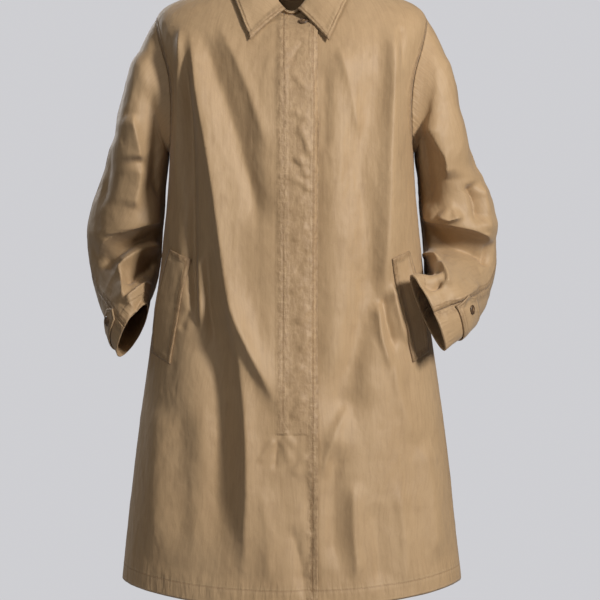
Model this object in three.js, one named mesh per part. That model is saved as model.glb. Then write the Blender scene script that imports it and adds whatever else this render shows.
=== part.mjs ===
// A knee-length single-breasted raincoat of khaki cotton, as it hangs when it is worn with the hands at the
// pockets. Millimetres. +X is the wearer's left, -Y is the front, +Z is up. The origin lies between the
// shoulders, level with the points where the shoulder seams meet the neck. Every cloth piece is a thin closed
// wall: its outer skin follows the form below and its inner skin lies one thickness further in.
import * as THREE from "three";

// Thicknesses and clearances
const CLOTH = 1.3;
const FLY_CLOTH = 2.0; // the overlapping front is several layers thick along its edge
const SEAM_GAP = 0.2; // each piece stops this far short of the seam line
const LIFT = 0.5; // between a panel and what lies on it

// Front closing, measured across from the centre plane
const TOP_EDGE = 43; // free edge of the overlapping front
const UNDER_EDGE = -12; // hidden edge of the front below it
const TOP_LIFT = 2.6;
const UNDER_SINK = 0.8;

// Armholes, measured down the cloth from the neck seam and round the body from the side line
const SHOULDER_DOWN = 165;
const UNDERARM_DOWN = 345;
const ARMHOLE_FRONT = THREE.MathUtils.degToRad(23);
const ARMHOLE_BACK = THREE.MathUtils.degToRad(24);

// Cross rings of the body. down: along the cloth from the neck seam. front and back: how far the ring reaches
// from the side plane. square: 2 is an ellipse, more is squarer.
const BODY_RINGS = [
  { name: "neck", down: 0, halfWidth: 76, front: 80, back: 66, zFront: -82, zSide: 0, zBack: 12, square: 2.0 },
  { name: "yoke", down: 80, halfWidth: 150, front: 118, back: 108, zFront: -116, zSide: -28, zBack: -24, square: 2.15 },
  { name: "shoulder", down: 165, halfWidth: 228, front: 138, back: 130, zFront: -165, zSide: -73, zBack: -80, square: 2.3 },
  { name: "chest", down: 250, halfWidth: 215, front: 148, back: 139, zFront: -226, zSide: -187, zBack: -180, square: 2.45 },
  { name: "underarm", down: 345, halfWidth: 206, front: 152, back: 140, zFront: -308, zSide: -300, zBack: -296, square: 2.5 },
  { name: "waist", down: 495, halfWidth: 217, front: 153, back: 139, zFront: -454, zSide: -450, zBack: -448, square: 2.4 },
  { name: "hip", down: 645, halfWidth: 235, front: 158, back: 148, zFront: -604, zSide: -600, zBack: -598, square: 2.3 },
  { name: "thigh", down: 825, halfWidth: 260, front: 166, back: 160, zFront: -786, zSide: -778, zBack: -780, square: 2.2 },
  { name: "hem", down: 1080, halfWidth: 287, front: 176, back: 172, zFront: -1042, zSide: -1019, zBack: -1024, square: 2.12 },
];
const HEM_DOWN = BODY_RINGS.at(-1).down;

// Drape folds of the body. path: points (x, z) in front view. depth: out of the cloth, or into it where negative.
// width: across the fold. steep: below 1, the flank on the right of the path, looking along it, is the steeper one.
const FRONT_FOLDS = [
  { path: [[-187, -95], [-189, -257], [-193, -440]], depth: 6, width: 18, steep: 1 },
  { path: [[-170, -98], [-152, -240], [-111, -469], [-83, -649], [-73, -796], [-83, -960]], depth: 14, width: 30, steep: 0.8 },
  { path: [[-176, -140], [-172, -306], [-152, -469], [-121, -616], [-111, -764], [-114, -920]], depth: -12, width: 27, steep: 1 },
  { path: [[-150, -108], [-114, -208], [-84, -322], [-55, -453], [-43, -545]], depth: -7, width: 30, steep: 1 },
  { path: [[161, -85], [149, -257], [143, -469], [135, -598], [102, -708], [97, -790]], depth: 12, width: 28, steep: 0.8 },
  { path: [[140, -120], [121, -257], [115, -469], [89, -567], [69, -682], [67, -775]], depth: -12, width: 26, steep: 1 },
  { path: [[-150, -800], [-140, -930], [-146, -1050]], depth: -9, width: 30, steep: 1 },
  { path: [[-42, -820], [-30, -940], [-20, -1060]], depth: 6, width: 38, steep: 1 },
  { path: [[105, -830], [98, -930], [92, -1055]], depth: -9, width: 30, steep: 1 },
  { path: [[170, -760], [196, -910], [206, -1050]], depth: 8, width: 36, steep: 1 },
];
const BACK_FOLDS = [
  { path: [[-165, -120], [-158, -330], [-150, -560], [-168, -820]], depth: 13, width: 30, steep: 0.8 },
  { path: [[-128, -150], [-118, -340], [-112, -600], [-122, -900]], depth: -11, width: 28, steep: 1 },
  { path: [[-62, -420], [-52, -640], [-58, -1040]], depth: 12, width: 36, steep: 1 },
  { path: [[0, -380], [6, -620], [2, -1050]], depth: -12, width: 32, steep: 1 },
  { path: [[58, -440], [66, -660], [64, -1040]], depth: 12, width: 34, steep: 1.2 },
  { path: [[120, -150], [112, -350], [116, -620], [130, -900]], depth: -11, width: 28, steep: 1 },
  { path: [[160, -120], [156, -330], [158, -560], [176, -830]], depth: 12, width: 30, steep: 1.2 },
  { path: [[196, -700], [214, -860], [226, -1040]], depth: -8, width: 34, steep: 1 },
  { path: [[-196, -700], [-210, -860], [-222, -1040]], depth: -8, width: 34, steep: 1 },
];

// Cross rings of a sleeve, from just outside the armhole to the cuff. out points to the seam along the
// outside of the arm, and fore to the side that faces forwards on the upper arm and upwards on the forearm.
const UPPER_SLEEVE = [
  { name: "cap", centre: [227, 2, -200], out: [17, 0, 101], fore: [2, -74, 0] },
  { name: "shoulder", centre: [235, 4, -221], out: [25, 0, 85], fore: [3, -80, -2] },
  { name: "upper_arm", centre: [243, 8, -251], out: [32, 0, 63], fore: [4, -82, -6] },
  { name: "armpit", centre: [253, 16, -289], out: [40, 0, 38], fore: [4, -80, -12] },
  { name: "biceps", centre: [266, 27, -328], out: [50, 1, 19], fore: [3, -77, -16] },
  { name: "mid_arm", centre: [277, 39, -368], out: [59, 2, 5], fore: [1, -74, -18] },
  { name: "above_elbow", centre: [285, 50, -409], out: [64, 4, -2], fore: [0, -73, -14] },
];
const LEFT_FOREARM = [
  { name: "elbow", centre: [290, 58, -449], out: [65, 6, -4], fore: [0, -72, 10] },
  { name: "elbow_point", centre: [291, 56, -488], out: [63, 2, -6], fore: [-6, -62, 38] },
  { name: "below_elbow", centre: [284, 34, -518], out: [55, -8, -8], fore: [-16, -46, 54] },
  { name: "forearm", centre: [276, -4, -532], out: [44, -20, -4], fore: [-24, -32, 54] },
  { name: "wrist", centre: [260, -88, -551], out: [23, -25, 0], fore: [-26, -15, 54] },
  { name: "cuff", centre: [220, -141, -572], out: [9, -21, 1], fore: [-27, -4, 61] },
];
const RIGHT_FOREARM = [
  { name: "elbow", centre: [290, 58, -449], out: [65, 6, -4], fore: [0, -72, 10] },
  { name: "elbow_point", centre: [288, 58, -490], out: [61, 0, -8], fore: [-6, -62, 38] },
  { name: "below_elbow", centre: [283, 40, -526], out: [50, -16, -8], fore: [-12, -48, 54] },
  { name: "forearm", centre: [280, 12, -552], out: [36, -28, 0], fore: [-18, -34, 52] },
  { name: "wrist", centre: [275, -16, -578], out: [24, -33, 6], fore: [-24, -20, 48] },
  { name: "cuff", centre: [266, -44, -601], out: [11, -30, 5], fore: [-24, -9, 45] },
];

// Folds of the sleeves, in front view, mirrored for the wearer's right. The overhanging ones are steep below.
const LEFT_SLEEVE_FOLDS = [
  { path: [[214, -410], [250, -424], [302, -438], [336, -456]], depth: 12, width: 34, steep: 0.45 },
  { path: [[222, -448], [262, -462], [300, -468], [336, -482]], depth: -8, width: 16, steep: 1 },
  { path: [[244, -240], [254, -310], [260, -380]], depth: 8, width: 20, steep: 0.6 },
  { path: [[224, -250], [230, -320], [238, -400]], depth: -8, width: 18, steep: 1 },
  { path: [[298, -360], [306, -390], [300, -424]], depth: -8, width: 14, steep: 1 },
  { path: [[206, -500], [236, -508], [266, -516]], depth: 8, width: 20, steep: 0.5 },
];
const RIGHT_SLEEVE_FOLDS = [
  { path: [[214, -412], [250, -423], [296, -450], [330, -474]], depth: 12, width: 34, steep: 0.45 },
  { path: [[220, -442], [256, -452], [290, -472], [324, -498]], depth: -12, width: 15, steep: 1 },
  { path: [[218, -464], [244, -469], [266, -484], [298, -504]], depth: 10, width: 24, steep: 0.5 },
  { path: [[226, -496], [256, -504], [286, -526]], depth: -9, width: 14, steep: 1 },
  { path: [[256, -240], [252, -318], [264, -400]], depth: 7, width: 20, steep: 1 },
  { path: [[230, -250], [228, -330], [232, -400]], depth: -8, width: 18, steep: 1 },
];

const FOLD_FORWARD = 0.5; // how far the front folds are pushed forwards, for each 1 outwards

// Collar
const ROLL = { halfWidth: 60, front: 85, back: 60, zFront: -76, zSide: 30, zBack: 48, rise: 2.6 };
const COLLAR_START = THREE.MathUtils.degToRad(9); // the roll line begins this far round from the centre
const TIP_LEFT = { x: 60, z: -132 };
const TIP_RIGHT = { x: -67, z: -130 };
const FALL_SIDE = { x: 104, z: -34 }; // where the collar's straight front edge ends, near the shoulder seam
const FALL_BACK_DOWN = 34;
const FRONT_SHARE = 0.24; // of the collar's outer edge, on each side
const FALL_LIFT = 6.2;
const LAP = THREE.MathUtils.degToRad(9); // how far each end of the stand passes the centre
const LAP_LIFT = 2.4;
const STAND_CLOTH = 1.6;
const COLLAR_CLOTH = 1.8;

// Pocket welts: corners in front view. seam: edge stitched to the coat. mouth: free edge, open for a hand.
const WELTS = {
  left: { seamTop: [160, -484], mouthTop: [191, -470], seamLow: [198, -653], mouthLow: [226, -637] },
  right: { seamTop: [-168, -484], mouthTop: [-200, -467], seamLow: [-198, -656], mouthLow: [-231, -638] },
};
const WELT_CLOTH = 2.2;
const WELT_GAPE = 8; // how far the free edge stands off the coat at its middle

// Cuff tabs and buttons
const TAB = { backAngle: -125, endAngle: -4, above: 12.35, below: 11.55, cloth: 2.0, pointed: 10 };
const TAB_LIFT = 0.7;
const TAB_BUTTON_BACK = 14; // degrees from the tab's pointed end to its button
const BUTTON = { radius: 8, rim: 1.3, thickness: 3.2, holeRadius: 1.0, holeSpacing: 2.0 };
const NECK_BUTTON = { x: 20, z: -97 };

// How finely each piece is divided
const EDGE_LINES = [TOP_EDGE, 30, 15, 2, UNDER_EDGE]; // columns shared by the two fronts where they overlap
const FRONT_COLUMNS = 17;
const BACK_COLUMNS = 24;
const SHOULDER_ROWS = 4;
const ARMHOLE_ROWS = 10; // also the columns of each half of a sleeve
const SKIRT_ROWS = 20;
const SKIRT_GROWTH = 1.25; // the skirt's rows grow further apart towards the hem
// The rows of a sleeve, as steps along its rings: closest together in the folds round the elbow
const SLEEVE_ROWS = [
  0.03, 0.5, 1, 2, 3, 4, 5, 5.6, 6.1, 6.5, 6.9, 7.3,
  7.7, 8.1, 8.5, 8.9, 9.3, 9.8, 10.4, 11, 11.5, 12, 12.5, 13,
];
const CUT_POWER = 2.4; // how much more the armhole shifts the columns near it than those at the centre

const { lerp, clamp, degToRad } = THREE.MathUtils;
const v3 = (x, y, z) => new THREE.Vector3(x, y, z);
const ease = (low, high, value) => THREE.MathUtils.smoothstep(value, low, high);

// Cubic through the rows of a table, at any value of the key column.
function rowAt(table, key, value) {
  const last = table.length - 1;
  let i = 0;
  while (i < last - 1 && value > table[i + 1][key]) i++;
  const a = table[i];
  const b = table[i + 1];
  const span = b[key] - a[key];
  const t = clamp((value - a[key]) / span, 0, 1);
  const before = table[Math.max(i - 1, 0)];
  const after = table[Math.min(i + 2, last)];
  const row = {};
  for (const column of Object.keys(a)) {
    if (typeof a[column] !== "number" || column === key) continue;
    const slopeA = ((b[column] - before[column]) / (b[key] - before[key])) * span;
    const slopeB = ((after[column] - a[column]) / (after[key] - a[key])) * span;
    row[column] = hermite(a[column], slopeA, b[column], slopeB, t);
  }
  return row;
}

function hermite(a, slopeA, b, slopeB, t) {
  const t2 = t * t;
  const t3 = t2 * t;
  return (2 * t3 - 3 * t2 + 1) * a + (t3 - 2 * t2 + t) * slopeA + (3 * t2 - 2 * t3) * b + (t3 - t2) * slopeB;
}

// A fold's path as closely spaced points.
function tracePath(path) {
  const curve = new THREE.CatmullRomCurve3(path.map(([x, z]) => v3(x, 0, z)));
  return curve.getPoints(path.length * 5).map((p) => [p.x, p.z]);
}

// How far the folds of a table push the cloth out at (x, z).
function foldHeight(folds, x, z) {
  let height = 0;
  for (const fold of folds) {
    fold.trace ??= tracePath(fold.path);
    const near = nearest(fold.trace, x, z);
    const fade = ease(0, 0.22, near.along) * (1 - ease(0.78, 1, near.along));
    const width = near.side < 0 ? fold.width * fold.steep : fold.width;
    height += fold.depth * fade * Math.exp(-((near.distance / width) ** 2));
  }
  return height;
}

// The nearest place on a traced path: how far off it, on which side, and how far along.
function nearest(trace, x, z) {
  let best = { distance: Infinity, side: 1, along: 0 };
  for (let i = 0; i < trace.length - 1; i++) {
    const [ax, az] = trace[i];
    const dx = trace[i + 1][0] - ax;
    const dz = trace[i + 1][1] - az;
    const t = clamp(((x - ax) * dx + (z - az) * dz) / (dx * dx + dz * dz), 0, 1);
    const distance = Math.hypot(x - ax - t * dx, z - az - t * dz);
    if (distance < best.distance) {
      const side = Math.sign(dx * (z - az) - dz * (x - ax));
      best = { distance, side, along: (i + t) / (trace.length - 1) };
    }
  }
  return best;
}

// The body without folds. angle: round from the centre front, positive to the wearer's left.
function bodyBase(angle, down) {
  const ring = rowAt(BODY_RINGS, "down", down);
  const power = 2 / ring.square;
  const s = Math.sin(angle);
  const c = Math.cos(angle);
  const ahead = c > 0;
  const reach = ahead ? -ring.front : ring.back;
  const fall = (ahead ? ring.zFront : ring.zBack) - ring.zSide;
  return v3(
    ring.halfWidth * Math.sign(s) * Math.abs(s) ** power,
    reach * Math.abs(c) ** power,
    ring.zSide + fall * c * c,
  );
}

// The body's outer form, with its folds.
function bodyForm(angle, down) {
  const p = bodyBase(angle, down);
  const turn = Math.abs(Math.atan2(Math.sin(angle), Math.cos(angle)));
  const frontShare = 1 - ease(degToRad(78), degToRad(102), turn);
  const free = ease(0, 60, down);
  const depth = lerp(foldHeight(BACK_FOLDS, p.x, p.z), foldHeight(FRONT_FOLDS, p.x, p.z), frontShare);
  const sideways = 0.35 * Math.sin(angle);
  const direction = v3(sideways, -Math.cos(angle) || 0, 0).normalize();
  return p.addScaledVector(direction, depth * free);
}

function bodyNormal(angle, down) {
  const step = 0.012;
  const reach = 3;
  const round = bodyForm(angle + step, down).sub(bodyForm(angle - step, down));
  const along = bodyForm(angle, down + reach).sub(bodyForm(angle, Math.max(down - reach, 0)));
  return along.cross(round).normalize();
}

// Where a point of the front view lies on the front of the body.
function frontSpot(x, z) {
  let low = 0;
  let high = HEM_DOWN;
  for (let i = 0; i < 40; i++) {
    const middle = (low + high) / 2;
    if (bodyBase(angleAt(x, middle), middle).z > z) low = middle;
    else high = middle;
  }
  return { angle: angleAt(x, low), down: low };
}

// The angle at which the body's ring has a given x, on the front.
function angleAt(x, down) {
  const ring = rowAt(BODY_RINGS, "down", down);
  const share = Math.min(Math.abs(x) / ring.halfWidth, 0.999);
  return Math.sign(x) * Math.asin(share ** (ring.square / 2));
}

// Values down the panels: shoulder, armhole and skirt rows.
function downStations() {
  const stations = [];
  for (let i = 0; i < SHOULDER_ROWS; i++) stations.push((SHOULDER_DOWN * i) / SHOULDER_ROWS);
  for (let i = 0; i < ARMHOLE_ROWS; i++) stations.push(armholeDown((Math.PI * i) / ARMHOLE_ROWS));
  for (let i = 0; i <= SKIRT_ROWS; i++) {
    stations.push(lerp(UNDERARM_DOWN, HEM_DOWN, (i / SKIRT_ROWS) ** SKIRT_GROWTH));
  }
  return stations;
}

// The armhole, once round: 0 at the shoulder, half a turn at the underarm.
function armholeDown(turn) {
  return lerp(SHOULDER_DOWN, UNDERARM_DOWN, (1 - Math.cos(turn)) / 2);
}

// How far the armhole cuts in from the side line at a row.
function armholeCut(down, deepest) {
  const share = clamp((down - SHOULDER_DOWN) / (UNDERARM_DOWN - SHOULDER_DOWN), 0, 1);
  return deepest * 2 * Math.sqrt(share * (1 - share));
}

// Moves the points on the rim of a grid in from the seam line.
function trimRim(grid, sides) {
  const rows = grid.length;
  const columns = grid[0].length;
  const pull = (r, c, fromR, fromC) => {
    const inward = grid[fromR][fromC].point.clone().sub(grid[r][c].point).normalize();
    grid[r][c].point.addScaledVector(inward, SEAM_GAP);
  };
  for (let c = 0; c < columns; c++) {
    if (sides.first) pull(0, c, 1, c);
    if (sides.last) pull(rows - 1, c, rows - 2, c);
  }
  for (let r = 0; r < rows; r++) {
    if (sides.start) pull(r, 0, r, 1);
    if (sides.end) pull(r, columns - 1, r, columns - 2);
  }
}

// A closed wall from a grid of outer points, each with its normal and thickness.
function wallGeometry(grid) {
  const rows = grid.length;
  const columns = grid[0].length;
  const positions = [];
  for (const skin of [0, 1]) {
    for (const row of grid) {
      for (const { point, normal, cloth } of row) {
        positions.push(...point.clone().addScaledVector(normal, -skin * cloth).toArray());
      }
    }
  }
  const at = (skin, r, c) => (skin * rows + r) * columns + c;
  const faces = [];
  const quad = (a, b, c, d) => faces.push(a, b, c, a, c, d);
  for (let r = 0; r < rows - 1; r++) {
    for (let c = 0; c < columns - 1; c++) {
      quad(at(0, r, c), at(0, r + 1, c), at(0, r + 1, c + 1), at(0, r, c + 1));
      quad(at(1, r, c), at(1, r, c + 1), at(1, r + 1, c + 1), at(1, r + 1, c));
    }
  }
  for (let c = 0; c < columns - 1; c++) {
    quad(at(0, 0, c), at(0, 0, c + 1), at(1, 0, c + 1), at(1, 0, c));
    quad(at(0, rows - 1, c), at(1, rows - 1, c), at(1, rows - 1, c + 1), at(0, rows - 1, c + 1));
  }
  for (let r = 0; r < rows - 1; r++) {
    quad(at(0, r, 0), at(1, r, 0), at(1, r + 1, 0), at(0, r + 1, 0));
    quad(at(0, r, columns - 1), at(0, r + 1, columns - 1), at(1, r + 1, columns - 1), at(1, r, columns - 1));
  }
  if (signedVolume(positions, faces) < 0) faces.reverse();
  const geometry = new THREE.BufferGeometry();
  geometry.setAttribute("position", new THREE.Float32BufferAttribute(positions, 3));
  geometry.setIndex(faces);
  geometry.computeVertexNormals();
  return geometry;
}

function signedVolume(positions, faces) {
  const corner = (i) => v3(positions[3 * i], positions[3 * i + 1], positions[3 * i + 2]);
  let volume = 0;
  for (let i = 0; i < faces.length; i += 3) {
    volume += corner(faces[i]).dot(corner(faces[i + 1]).cross(corner(faces[i + 2]))) / 6;
  }
  return volume;
}

// One front of the coat. side: 1 for the wearer's left, which lies under, and -1 for the right, which laps over.
function frontPanel(side) {
  const lines = side > 0 ? [...EDGE_LINES].reverse() : EDGE_LINES;
  const innermost = lines.at(-1);
  const grid = downStations().map((down) => {
    const inner = angleAt(innermost, down);
    const angles = lines.map((x) => angleAt(x, down));
    for (let i = 1; i <= FRONT_COLUMNS; i++) {
      const share = i / FRONT_COLUMNS;
      const cut = armholeCut(down, ARMHOLE_FRONT) * share ** CUT_POWER;
      angles.push(lerp(inner, (side * Math.PI) / 2, share) - side * cut);
    }
    return angles.map((angle) => frontCell(side, angle, down));
  });
  trimRim(grid, { first: true, end: true });
  return wallGeometry(grid);
}

// A point of a front, raised over or sunk under the other one near the closing.
function frontCell(side, angle, down) {
  const normal = bodyNormal(angle, down);
  const point = bodyForm(angle, down);
  const over = ease(-60, -20, point.x);
  const under = 1 - ease(50, 90, point.x);
  const rise = side < 0 ? TOP_LIFT * over : -UNDER_SINK * under;
  const cloth = side < 0 ? lerp(CLOTH, FLY_CLOTH, over) : CLOTH;
  return { point: point.addScaledVector(normal, rise), normal, cloth };
}

function backPanel() {
  const grid = downStations().map((down) => {
    const row = [];
    for (let i = 0; i <= BACK_COLUMNS; i++) {
      const share = lerp(-1, 1, i / BACK_COLUMNS);
      const cut = armholeCut(down, ARMHOLE_BACK) * Math.abs(share) ** CUT_POWER;
      const angle = Math.PI + share * (Math.PI / 2) - Math.sign(share) * cut;
      row.push({ point: bodyForm(angle, down), normal: bodyNormal(angle, down), cloth: CLOTH });
    }
    return row;
  });
  trimRim(grid, { first: true, start: true, end: true });
  return wallGeometry(grid);
}

// A point of a sleeve's form. turn: round from the outer seam, forwards first. step: counts the rings.
function sleeveForm(side, turn, step) {
  const rings = [...UPPER_SLEEVE, ...(side > 0 ? LEFT_FOREARM : RIGHT_FOREARM)];
  const folds = side > 0 ? LEFT_SLEEVE_FOLDS : RIGHT_SLEEVE_FOLDS;
  const points = [armholePoint(side, turn), ...rings.map((ring) => ringPoint(ring, turn, side))];
  const last = points.length - 1;
  const i = clamp(Math.floor(step), 0, last - 1);
  const before = points[Math.max(i - 1, 0)];
  const after = points[Math.min(i + 2, last)];
  const slopeA = points[i + 1].clone().sub(before).multiplyScalar(i > 0 ? 0.5 : 1);
  const slopeB = after.clone().sub(points[i]).multiplyScalar(i + 2 <= last ? 0.5 : 1);
  const t = step - i;
  const p = v3();
  for (const axis of ["x", "y", "z"]) {
    p[axis] = hermite(points[i][axis], slopeA[axis], points[i + 1][axis], slopeB[axis], t);
  }
  const facing = ease(-0.25, 0.45, Math.sin(turn) + 0.55 * Math.cos(turn));
  const height = foldHeight(folds, side * p.x, p.z) * facing * ease(1, 3, step);
  const outward = p.clone().sub(ringCentre(rings, side, step)).normalize();
  outward.y -= FOLD_FORWARD * facing;
  return p.addScaledVector(outward.normalize(), height);
}

function ringPoint(ring, turn, side) {
  const c = Math.cos(turn);
  const s = Math.sin(turn);
  const [x, y, z] = ring.centre.map((value, axis) => value + ring.out[axis] * c + ring.fore[axis] * s);
  return v3(side * x, y, z);
}

function ringCentre(rings, side, step) {
  const at = clamp(step - 1, 0, rings.length - 1);
  const i = Math.min(Math.floor(at), rings.length - 2);
  const [x, y, z] = rings[i].centre.map((value, axis) => lerp(value, rings[i + 1].centre[axis], at - i));
  return v3(side * x, y, z);
}

// A point of the armhole's edge.
function armholePoint(side, turn) {
  const cut = Math.sin(turn) > 0 ? ARMHOLE_FRONT : ARMHOLE_BACK;
  return bodyForm(side * (Math.PI / 2 - cut * Math.sin(turn)), armholeDown(turn));
}

function sleeveNormal(side, turn, step) {
  const small = 0.03;
  const next = Math.min(step + small, SLEEVE_STEPS);
  const previous = Math.max(step - small, 0);
  const round = sleeveForm(side, turn + small, step).sub(sleeveForm(side, turn - small, step));
  const along = sleeveForm(side, turn, next).sub(sleeveForm(side, turn, previous));
  return round.cross(along).multiplyScalar(side).normalize();
}

const SLEEVE_STEPS = UPPER_SLEEVE.length + LEFT_FOREARM.length;

// Half a sleeve, front or back, between its outer seam and its underarm seam.
function sleevePanel(side, half) {
  const grid = [];
  for (const step of SLEEVE_ROWS) {
    const row = [];
    for (let c = 0; c <= ARMHOLE_ROWS; c++) {
      const turn = (half * Math.PI * c) / ARMHOLE_ROWS;
      row.push({ point: sleeveForm(side, turn, step), normal: sleeveNormal(side, turn, step), cloth: CLOTH });
    }
    grid.push(row);
  }
  trimRim(grid, { first: true, start: true, end: true });
  return wallGeometry(grid);
}

// The line along which the collar rolls over.
function rollPoint(angle) {
  const c = Math.cos(angle);
  const ahead = c > 0;
  const share = Math.abs(c) ** ROLL.rise;
  return v3(
    ROLL.halfWidth * Math.sin(angle),
    ahead ? -ROLL.front * c : -ROLL.back * c,
    ROLL.zSide + ((ahead ? ROLL.zFront : ROLL.zBack) - ROLL.zSide) * share,
  );
}

function anglesRound(start, count) {
  const angles = [];
  for (let i = 0; i <= count; i++) angles.push(lerp(start, 2 * Math.PI - start, i / count));
  return angles;
}

// The band that stands up round the neck, from the neck seam to the roll line. Its right end laps over.
function collarStand() {
  const grid = [0, 0.5, 1].map((share) =>
    anglesRound(-LAP, 34).map((angle) => {
      const low = standFoot(angle);
      const high = rollPoint(angle);
      const point = low.clone().lerp(high, share);
      const round = standFoot(angle + 0.02).sub(standFoot(angle - 0.02));
      const normal = high.sub(low).cross(round).normalize();
      const over = ease(2 * Math.PI - 0.62, 2 * Math.PI - 0.2, angle);
      return { point: point.addScaledVector(normal, LAP_LIFT * over), normal, cloth: STAND_CLOTH };
    }),
  );
  trimRim(grid, { last: true });
  return wallGeometry(grid);
}

// The stand's lower edge, just above the neck seam of the fronts and back.
function standFoot(angle) {
  const foot = bodyForm(angle, 0);
  const lapped = Math.cos(angle) > 0 ? ease(-66, -30, foot.x) * (1 - ease(44, 56, foot.x)) : 0;
  return foot.add(v3(0, 0, 2 * SEAM_GAP + 1.3 * TOP_LIFT * lapped));
}

// The collar's outer edge, lying on the shoulders: straight from its tip in front view, then round the back.
function fallEdge(angle) {
  const side = angle < Math.PI ? 1 : -1;
  const tip = side > 0 ? TIP_LEFT : TIP_RIGHT;
  const turn = side > 0 ? angle : 2 * Math.PI - angle;
  const share = Math.max(turn - COLLAR_START, 0) / (Math.PI - COLLAR_START);
  const ahead = Math.min(share / FRONT_SHARE, 1);
  const spot = frontSpot(lerp(tip.x, side * FALL_SIDE.x, ahead), lerp(tip.z, FALL_SIDE.z, ahead));
  const behind = Math.max(share - FRONT_SHARE, 0) / (1 - FRONT_SHARE);
  const at = lerp(spot.angle, side * Math.PI, behind);
  const down = lerp(spot.down, FALL_BACK_DOWN, ease(0, 1, behind));
  return bodyForm(at, down).addScaledVector(bodyNormal(at, down), FALL_LIFT);
}

// The collar's fall: up over the roll line, then down to its edge.
function fallPoint(angle, share) {
  const turn = angle < Math.PI ? angle : 2 * Math.PI - angle;
  const roll = ease(COLLAR_START, 1.1, turn);
  const outward = v3(Math.sin(angle), -Math.cos(angle), 0);
  const tangent = rollPoint(angle + 0.02).sub(rollPoint(angle - 0.02)).normalize();
  const up = rollPoint(angle).sub(standFoot(angle));
  up.addScaledVector(tangent, -up.dot(tangent)).normalize();
  const start = rollPoint(angle).addScaledVector(outward, LAP_LIFT * (1 - roll));
  start.addScaledVector(up, COLLAR_CLOTH + 2 * SEAM_GAP);
  const end = fallEdge(angle);
  const rise = start.clone();
  rise.addScaledVector(outward, lerp(6, 13, roll)).addScaledVector(up, lerp(2, 11, roll));
  const rest = end.clone().lerp(start, 0.45);
  rest.z += lerp(3, 12, roll);
  rest.addScaledVector(outward, lerp(2, 8, roll));
  return new THREE.CubicBezierCurve3(start, rise, rest, end).getPoint(share);
}

// The turned-down part of the collar, from the roll line to its pointed ends.
function collarFall() {
  const steps = 6;
  const grid = [];
  for (let r = 0; r <= steps; r++) {
    const share = r / steps;
    grid.push(
      anglesRound(COLLAR_START, 36).map((angle) => {
        const small = 0.02;
        const round = fallPoint(angle + small, share).sub(fallPoint(angle - small, share));
        const next = fallPoint(angle, Math.min(share + small, 1));
        const along = next.sub(fallPoint(angle, Math.max(share - small, 0)));
        const normal = along.cross(round).normalize();
        return { point: fallPoint(angle, share), normal, cloth: COLLAR_CLOTH };
      }),
    );
  }
  return wallGeometry(grid);
}

// A pocket welt: its seam edge lies on the coat and its free edge stands off it.
function pocketWelt(side) {
  const corners = side > 0 ? WELTS.left : WELTS.right;
  const top = [corners.seamTop, corners.mouthTop];
  const low = [corners.seamLow, corners.mouthLow];
  const rows = 8;
  const columns = 4;
  const grid = [];
  for (let r = 0; r <= rows; r++) {
    const row = [];
    for (let c = 0; c <= columns; c++) {
      const across = c / columns;
      const x = lerp(lerp(top[0][0], top[1][0], across), lerp(low[0][0], low[1][0], across), r / rows);
      const z = lerp(lerp(top[0][1], top[1][1], across), lerp(low[0][1], low[1][1], across), r / rows);
      const spot = frontSpot(x, z);
      const normal = bodyNormal(spot.angle, spot.down);
      const gape = WELT_GAPE * Math.sin((Math.PI * r) / rows) * across ** 1.5;
      const point = bodyForm(spot.angle, spot.down).addScaledVector(normal, WELT_CLOTH + LIFT + gape);
      row.push({ point, normal, cloth: WELT_CLOTH });
    }
    grid.push(row);
  }
  return wallGeometry(grid);
}

// The tab round the back of a cuff.
function cuffTab(side) {
  const rows = 2;
  const columns = 9;
  const grid = [];
  for (let r = 0; r <= rows; r++) {
    const row = [];
    for (let c = 0; c <= columns; c++) {
      const middle = 1 - Math.abs(r - rows / 2) / (rows / 2);
      const point = c === columns ? TAB.pointed * middle : 0;
      const turn = degToRad(lerp(TAB.backAngle, TAB.endAngle, c / columns) + point);
      const step = lerp(TAB.below, TAB.above, r / rows);
      const normal = sleeveNormal(side, turn, step);
      const out = sleeveForm(side, turn, step).addScaledVector(normal, TAB.cloth + LIFT + TAB_LIFT);
      row.push({ point: out, normal, cloth: TAB.cloth });
    }
    grid.push(row);
  }
  return wallGeometry(grid);
}

// A round button with four holes, its axis along +Z before it is placed.
function buttonGeometry() {
  const { radius, rim, thickness, holeRadius, holeSpacing } = BUTTON;
  const shape = new THREE.Shape(circlePoints(0, 0, radius - rim / 2, 20));
  for (const [x, y] of [[1, 1], [1, -1], [-1, 1], [-1, -1]]) {
    shape.holes.push(new THREE.Path(circlePoints(x * holeSpacing, y * holeSpacing, holeRadius, 6)));
  }
  return new THREE.ExtrudeGeometry(shape, {
    depth: thickness - rim,
    bevelEnabled: true,
    bevelThickness: rim / 2,
    bevelSize: rim / 2,
    bevelSegments: 1,
  }).translate(0, 0, rim / 2);
}

function circlePoints(x, y, radius, count) {
  const points = [];
  for (let i = 0; i < count; i++) {
    const turn = (2 * Math.PI * i) / count;
    points.push(new THREE.Vector2(x + radius * Math.cos(turn), y + radius * Math.sin(turn)));
  }
  return points;
}

function placeButton(mesh, point, normal, lift) {
  mesh.quaternion.setFromUnitVectors(v3(0, 0, 1), normal);
  mesh.position.copy(point.clone().addScaledVector(normal, lift));
}

function cotton() {
  return new THREE.MeshStandardMaterial({ color: 0xae906a, roughness: 0.72, side: THREE.DoubleSide });
}

function horn() {
  return new THREE.MeshStandardMaterial({ color: 0x4a3524, roughness: 0.35, metalness: 0 });
}

function piece(name, geometry, material = cotton()) {
  const mesh = new THREE.Mesh(geometry, material);
  mesh.name = name;
  return mesh;
}

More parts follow.
